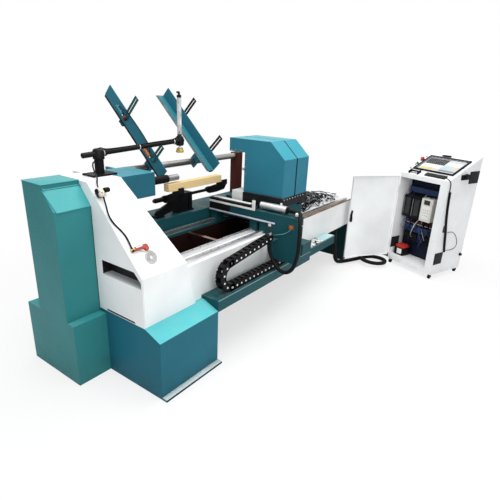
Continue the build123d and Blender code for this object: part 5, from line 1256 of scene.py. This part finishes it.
LEVER_X = 538
LEVER_Z = 610
lever = Maker("door_handle_lever", DOOR)
lever.turned((LEVER_X, -9.3, LEVER_Z), (0, -1, 0),
             [(0, 12), (4, 12), (5, 10), (11, 10), (12, 8)], dark_grey, 20)
lever.slab([(531, 536), (534, 532), (542, 532), (545, 536), (547, 600), (547, 616), (543, 619), (533, 619),
            (529, 616), (529, 600)], -20.5, -11.5, "y", dark_grey, 2.0)
lever.rod((LEVER_X, -10, LEVER_Z), (LEVER_X, 3, LEVER_Z), 6.9, bright_steel, sides=16)
lever.block(530, 546, -0.5, 3.2, 602, 633, bright_steel, 0.6)
lever.done("latch", "black_plastic", "door_handle")


# ---------------------------------------------------------------- cords

def plain_cord(name, points, radius, finish, per_span=10):
    """A smooth round cord on its route, and its length."""
    curve = route_line(name, points, per_span)
    length = line_length(read_line(curve.copy()))
    curve.bevel_depth = radius * MM
    curve.bevel_resolution = 4
    curve.use_fill_caps = True
    curve.materials.append(finish)
    cord = bpy.data.objects.new(name, curve)
    scene.collection.objects.link(cord)
    return cord, length


def ribbed_cord(name, points, radius, rib_depth, pitch, finish, per_span=10):
    """A ribbed hose on its route as a tube, its length and the points of its middle line."""
    line = read_line(route_line(name, points, per_span))
    mesh = rib_tree.run(line_mesh(line), Radius=radius * MM, Rib_Depth=rib_depth * MM, Pitch=pitch * MM,
                        Finish=finish)
    mesh.name = name
    cord = bpy.data.objects.new(name, mesh)
    scene.collection.objects.link(cord)
    return cord, line_length(line), line


def on_slope(x, down, above_it):
    """A point on the pedestal's slope, in the machine's mm."""
    return tuple(SLOPE @ Vector((x, down, above_it)) / MM)


conduit_route = (
    (942, -671, 710.8), (942, -671, 648.8), (942, -697, 592.8), (942, -735, 532.8), (942, -783, 492.8),
    (942, -841, 486.8), (942, -891, 524.8), (942, -919, 588.8), (942, -935, 678.8), (942, -937, 788.8),
    (950, -927, 880.8), (1002, -893, 942.8), (FEED_X, -846.5, FEED_Z), (FEED_X, -746.5, FEED_Z),
)
conduit, conduit_length, conduit_line = ribbed_cord("carriage_conduit_loop", conduit_route, 16.0, 2.0, 8.0,
                                                    black_rubber)
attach(conduit, "carriage")
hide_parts("carriage_conduit")

air_route = [on_slope(*point) for point in (
    (FILTER_X, 128.5, FILTER_RISE), (-244, 185, 28), (-251, 242, 9.5), (-242, 299, 5.5), (-218, 356, 5.5),
    (-210, 413, 5.5), (-222, 469.5, 10))]
air_line, air_length = plain_cord("air_supply_hose", air_route, 5.0, black_rubber)
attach(air_line, "machine")
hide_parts("air_hose")

# half turns that grow smaller, side by side on the slope
SPIRAL_X = -128.0
SPIRAL_START = 514.5
SPIRAL_ABOVE = 5.0
spiral_points = [(SPIRAL_X, SPIRAL_START, SPIRAL_ABOVE)]
turn_down = SPIRAL_START
for half_turn in range(6):
    bend = 40.0 - 5.5 * half_turn
    way = 1.0 if half_turn % 2 == 0 else -1.0
    reach = bend / math.cos(math.radians(15.0))
    for step in range(6):
        angle = math.radians(15.0 + 30.0 * step)
        spiral_points.append((SPIRAL_X + way * reach * math.sin(angle),
                              turn_down + way * (bend - reach * math.cos(angle)), SPIRAL_ABOVE))
    turn_down += way * 2.0 * bend
spiral_points.append((SPIRAL_X, turn_down, SPIRAL_ABOVE))
spiral_route = [on_slope(*point) for point in spiral_points]
gun_line, gun_length = plain_cord("gun_spiral_hose", spiral_route, 4.5, worn_white, 6)
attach(gun_line, "machine")
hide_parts("gun_hose")

# the floor hose drops from the bed, runs over the floor, makes one turn and goes under the cabinet
HOSE_DROP = (2470, -552)
HOSE_WAY = (0.91355, -0.40674)
HOSE_REST = 22.5
COIL_RADIUS = 138.0
COIL_RISE = 48.0
COIL_STEPS = 18


def hose_point(along, height):
    """A point over the straight run of the floor hose."""
    return (HOSE_DROP[0] + HOSE_WAY[0] * along, HOSE_DROP[1] + HOSE_WAY[1] * along, HOSE_REST + height)


hose_route = [hose_point(*point) for point in ((0, 424), (0, 314), (22, 170), (52, 30), (130, 0), (498, 0))]
coil_from = Vector(hose_point(499.72, 0))
coil_centre = coil_from + COIL_RADIUS * Vector((HOSE_WAY[1], -HOSE_WAY[0], 0.0))
spoke = coil_from - coil_centre
spoke_reach = COIL_RADIUS / math.cos(math.radians(10.0))
for step in range(COIL_STEPS):
    turned = Matrix.Rotation(math.radians(-10.0 - 20.0 * step), 3, "Z") @ (spoke / COIL_RADIUS)
    place = coil_centre + turned * spoke_reach
    hose_route.append((place.x, place.y, HOSE_REST + COIL_RISE * (step + 0.5) / COIL_STEPS))
tail = Vector(hose_point(501.44, COIL_RISE))
hose_route.append(tuple(tail))
for heading, step_long, height in (
        (-24.0, 116.57, 70.5), (-45.975, 61.57, 69.5), (-67.95, 61.57, 68.5), (-89.925, 61.57, 68.5),
        (-111.9, 61.57, 68.5)):
    tail = tail + step_long * Vector((math.cos(math.radians(heading)), math.sin(math.radians(heading)), 0.0))
    hose_route.append((tail.x, tail.y, height))
floor_hose, hose_length, hose_line = ribbed_cord("control_floor_hose", hose_route, 22.0, 2.4, 10.0,
                                                 black_rubber, 8)
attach(floor_hose, "machine")
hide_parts("control_hose", "cable_coil")
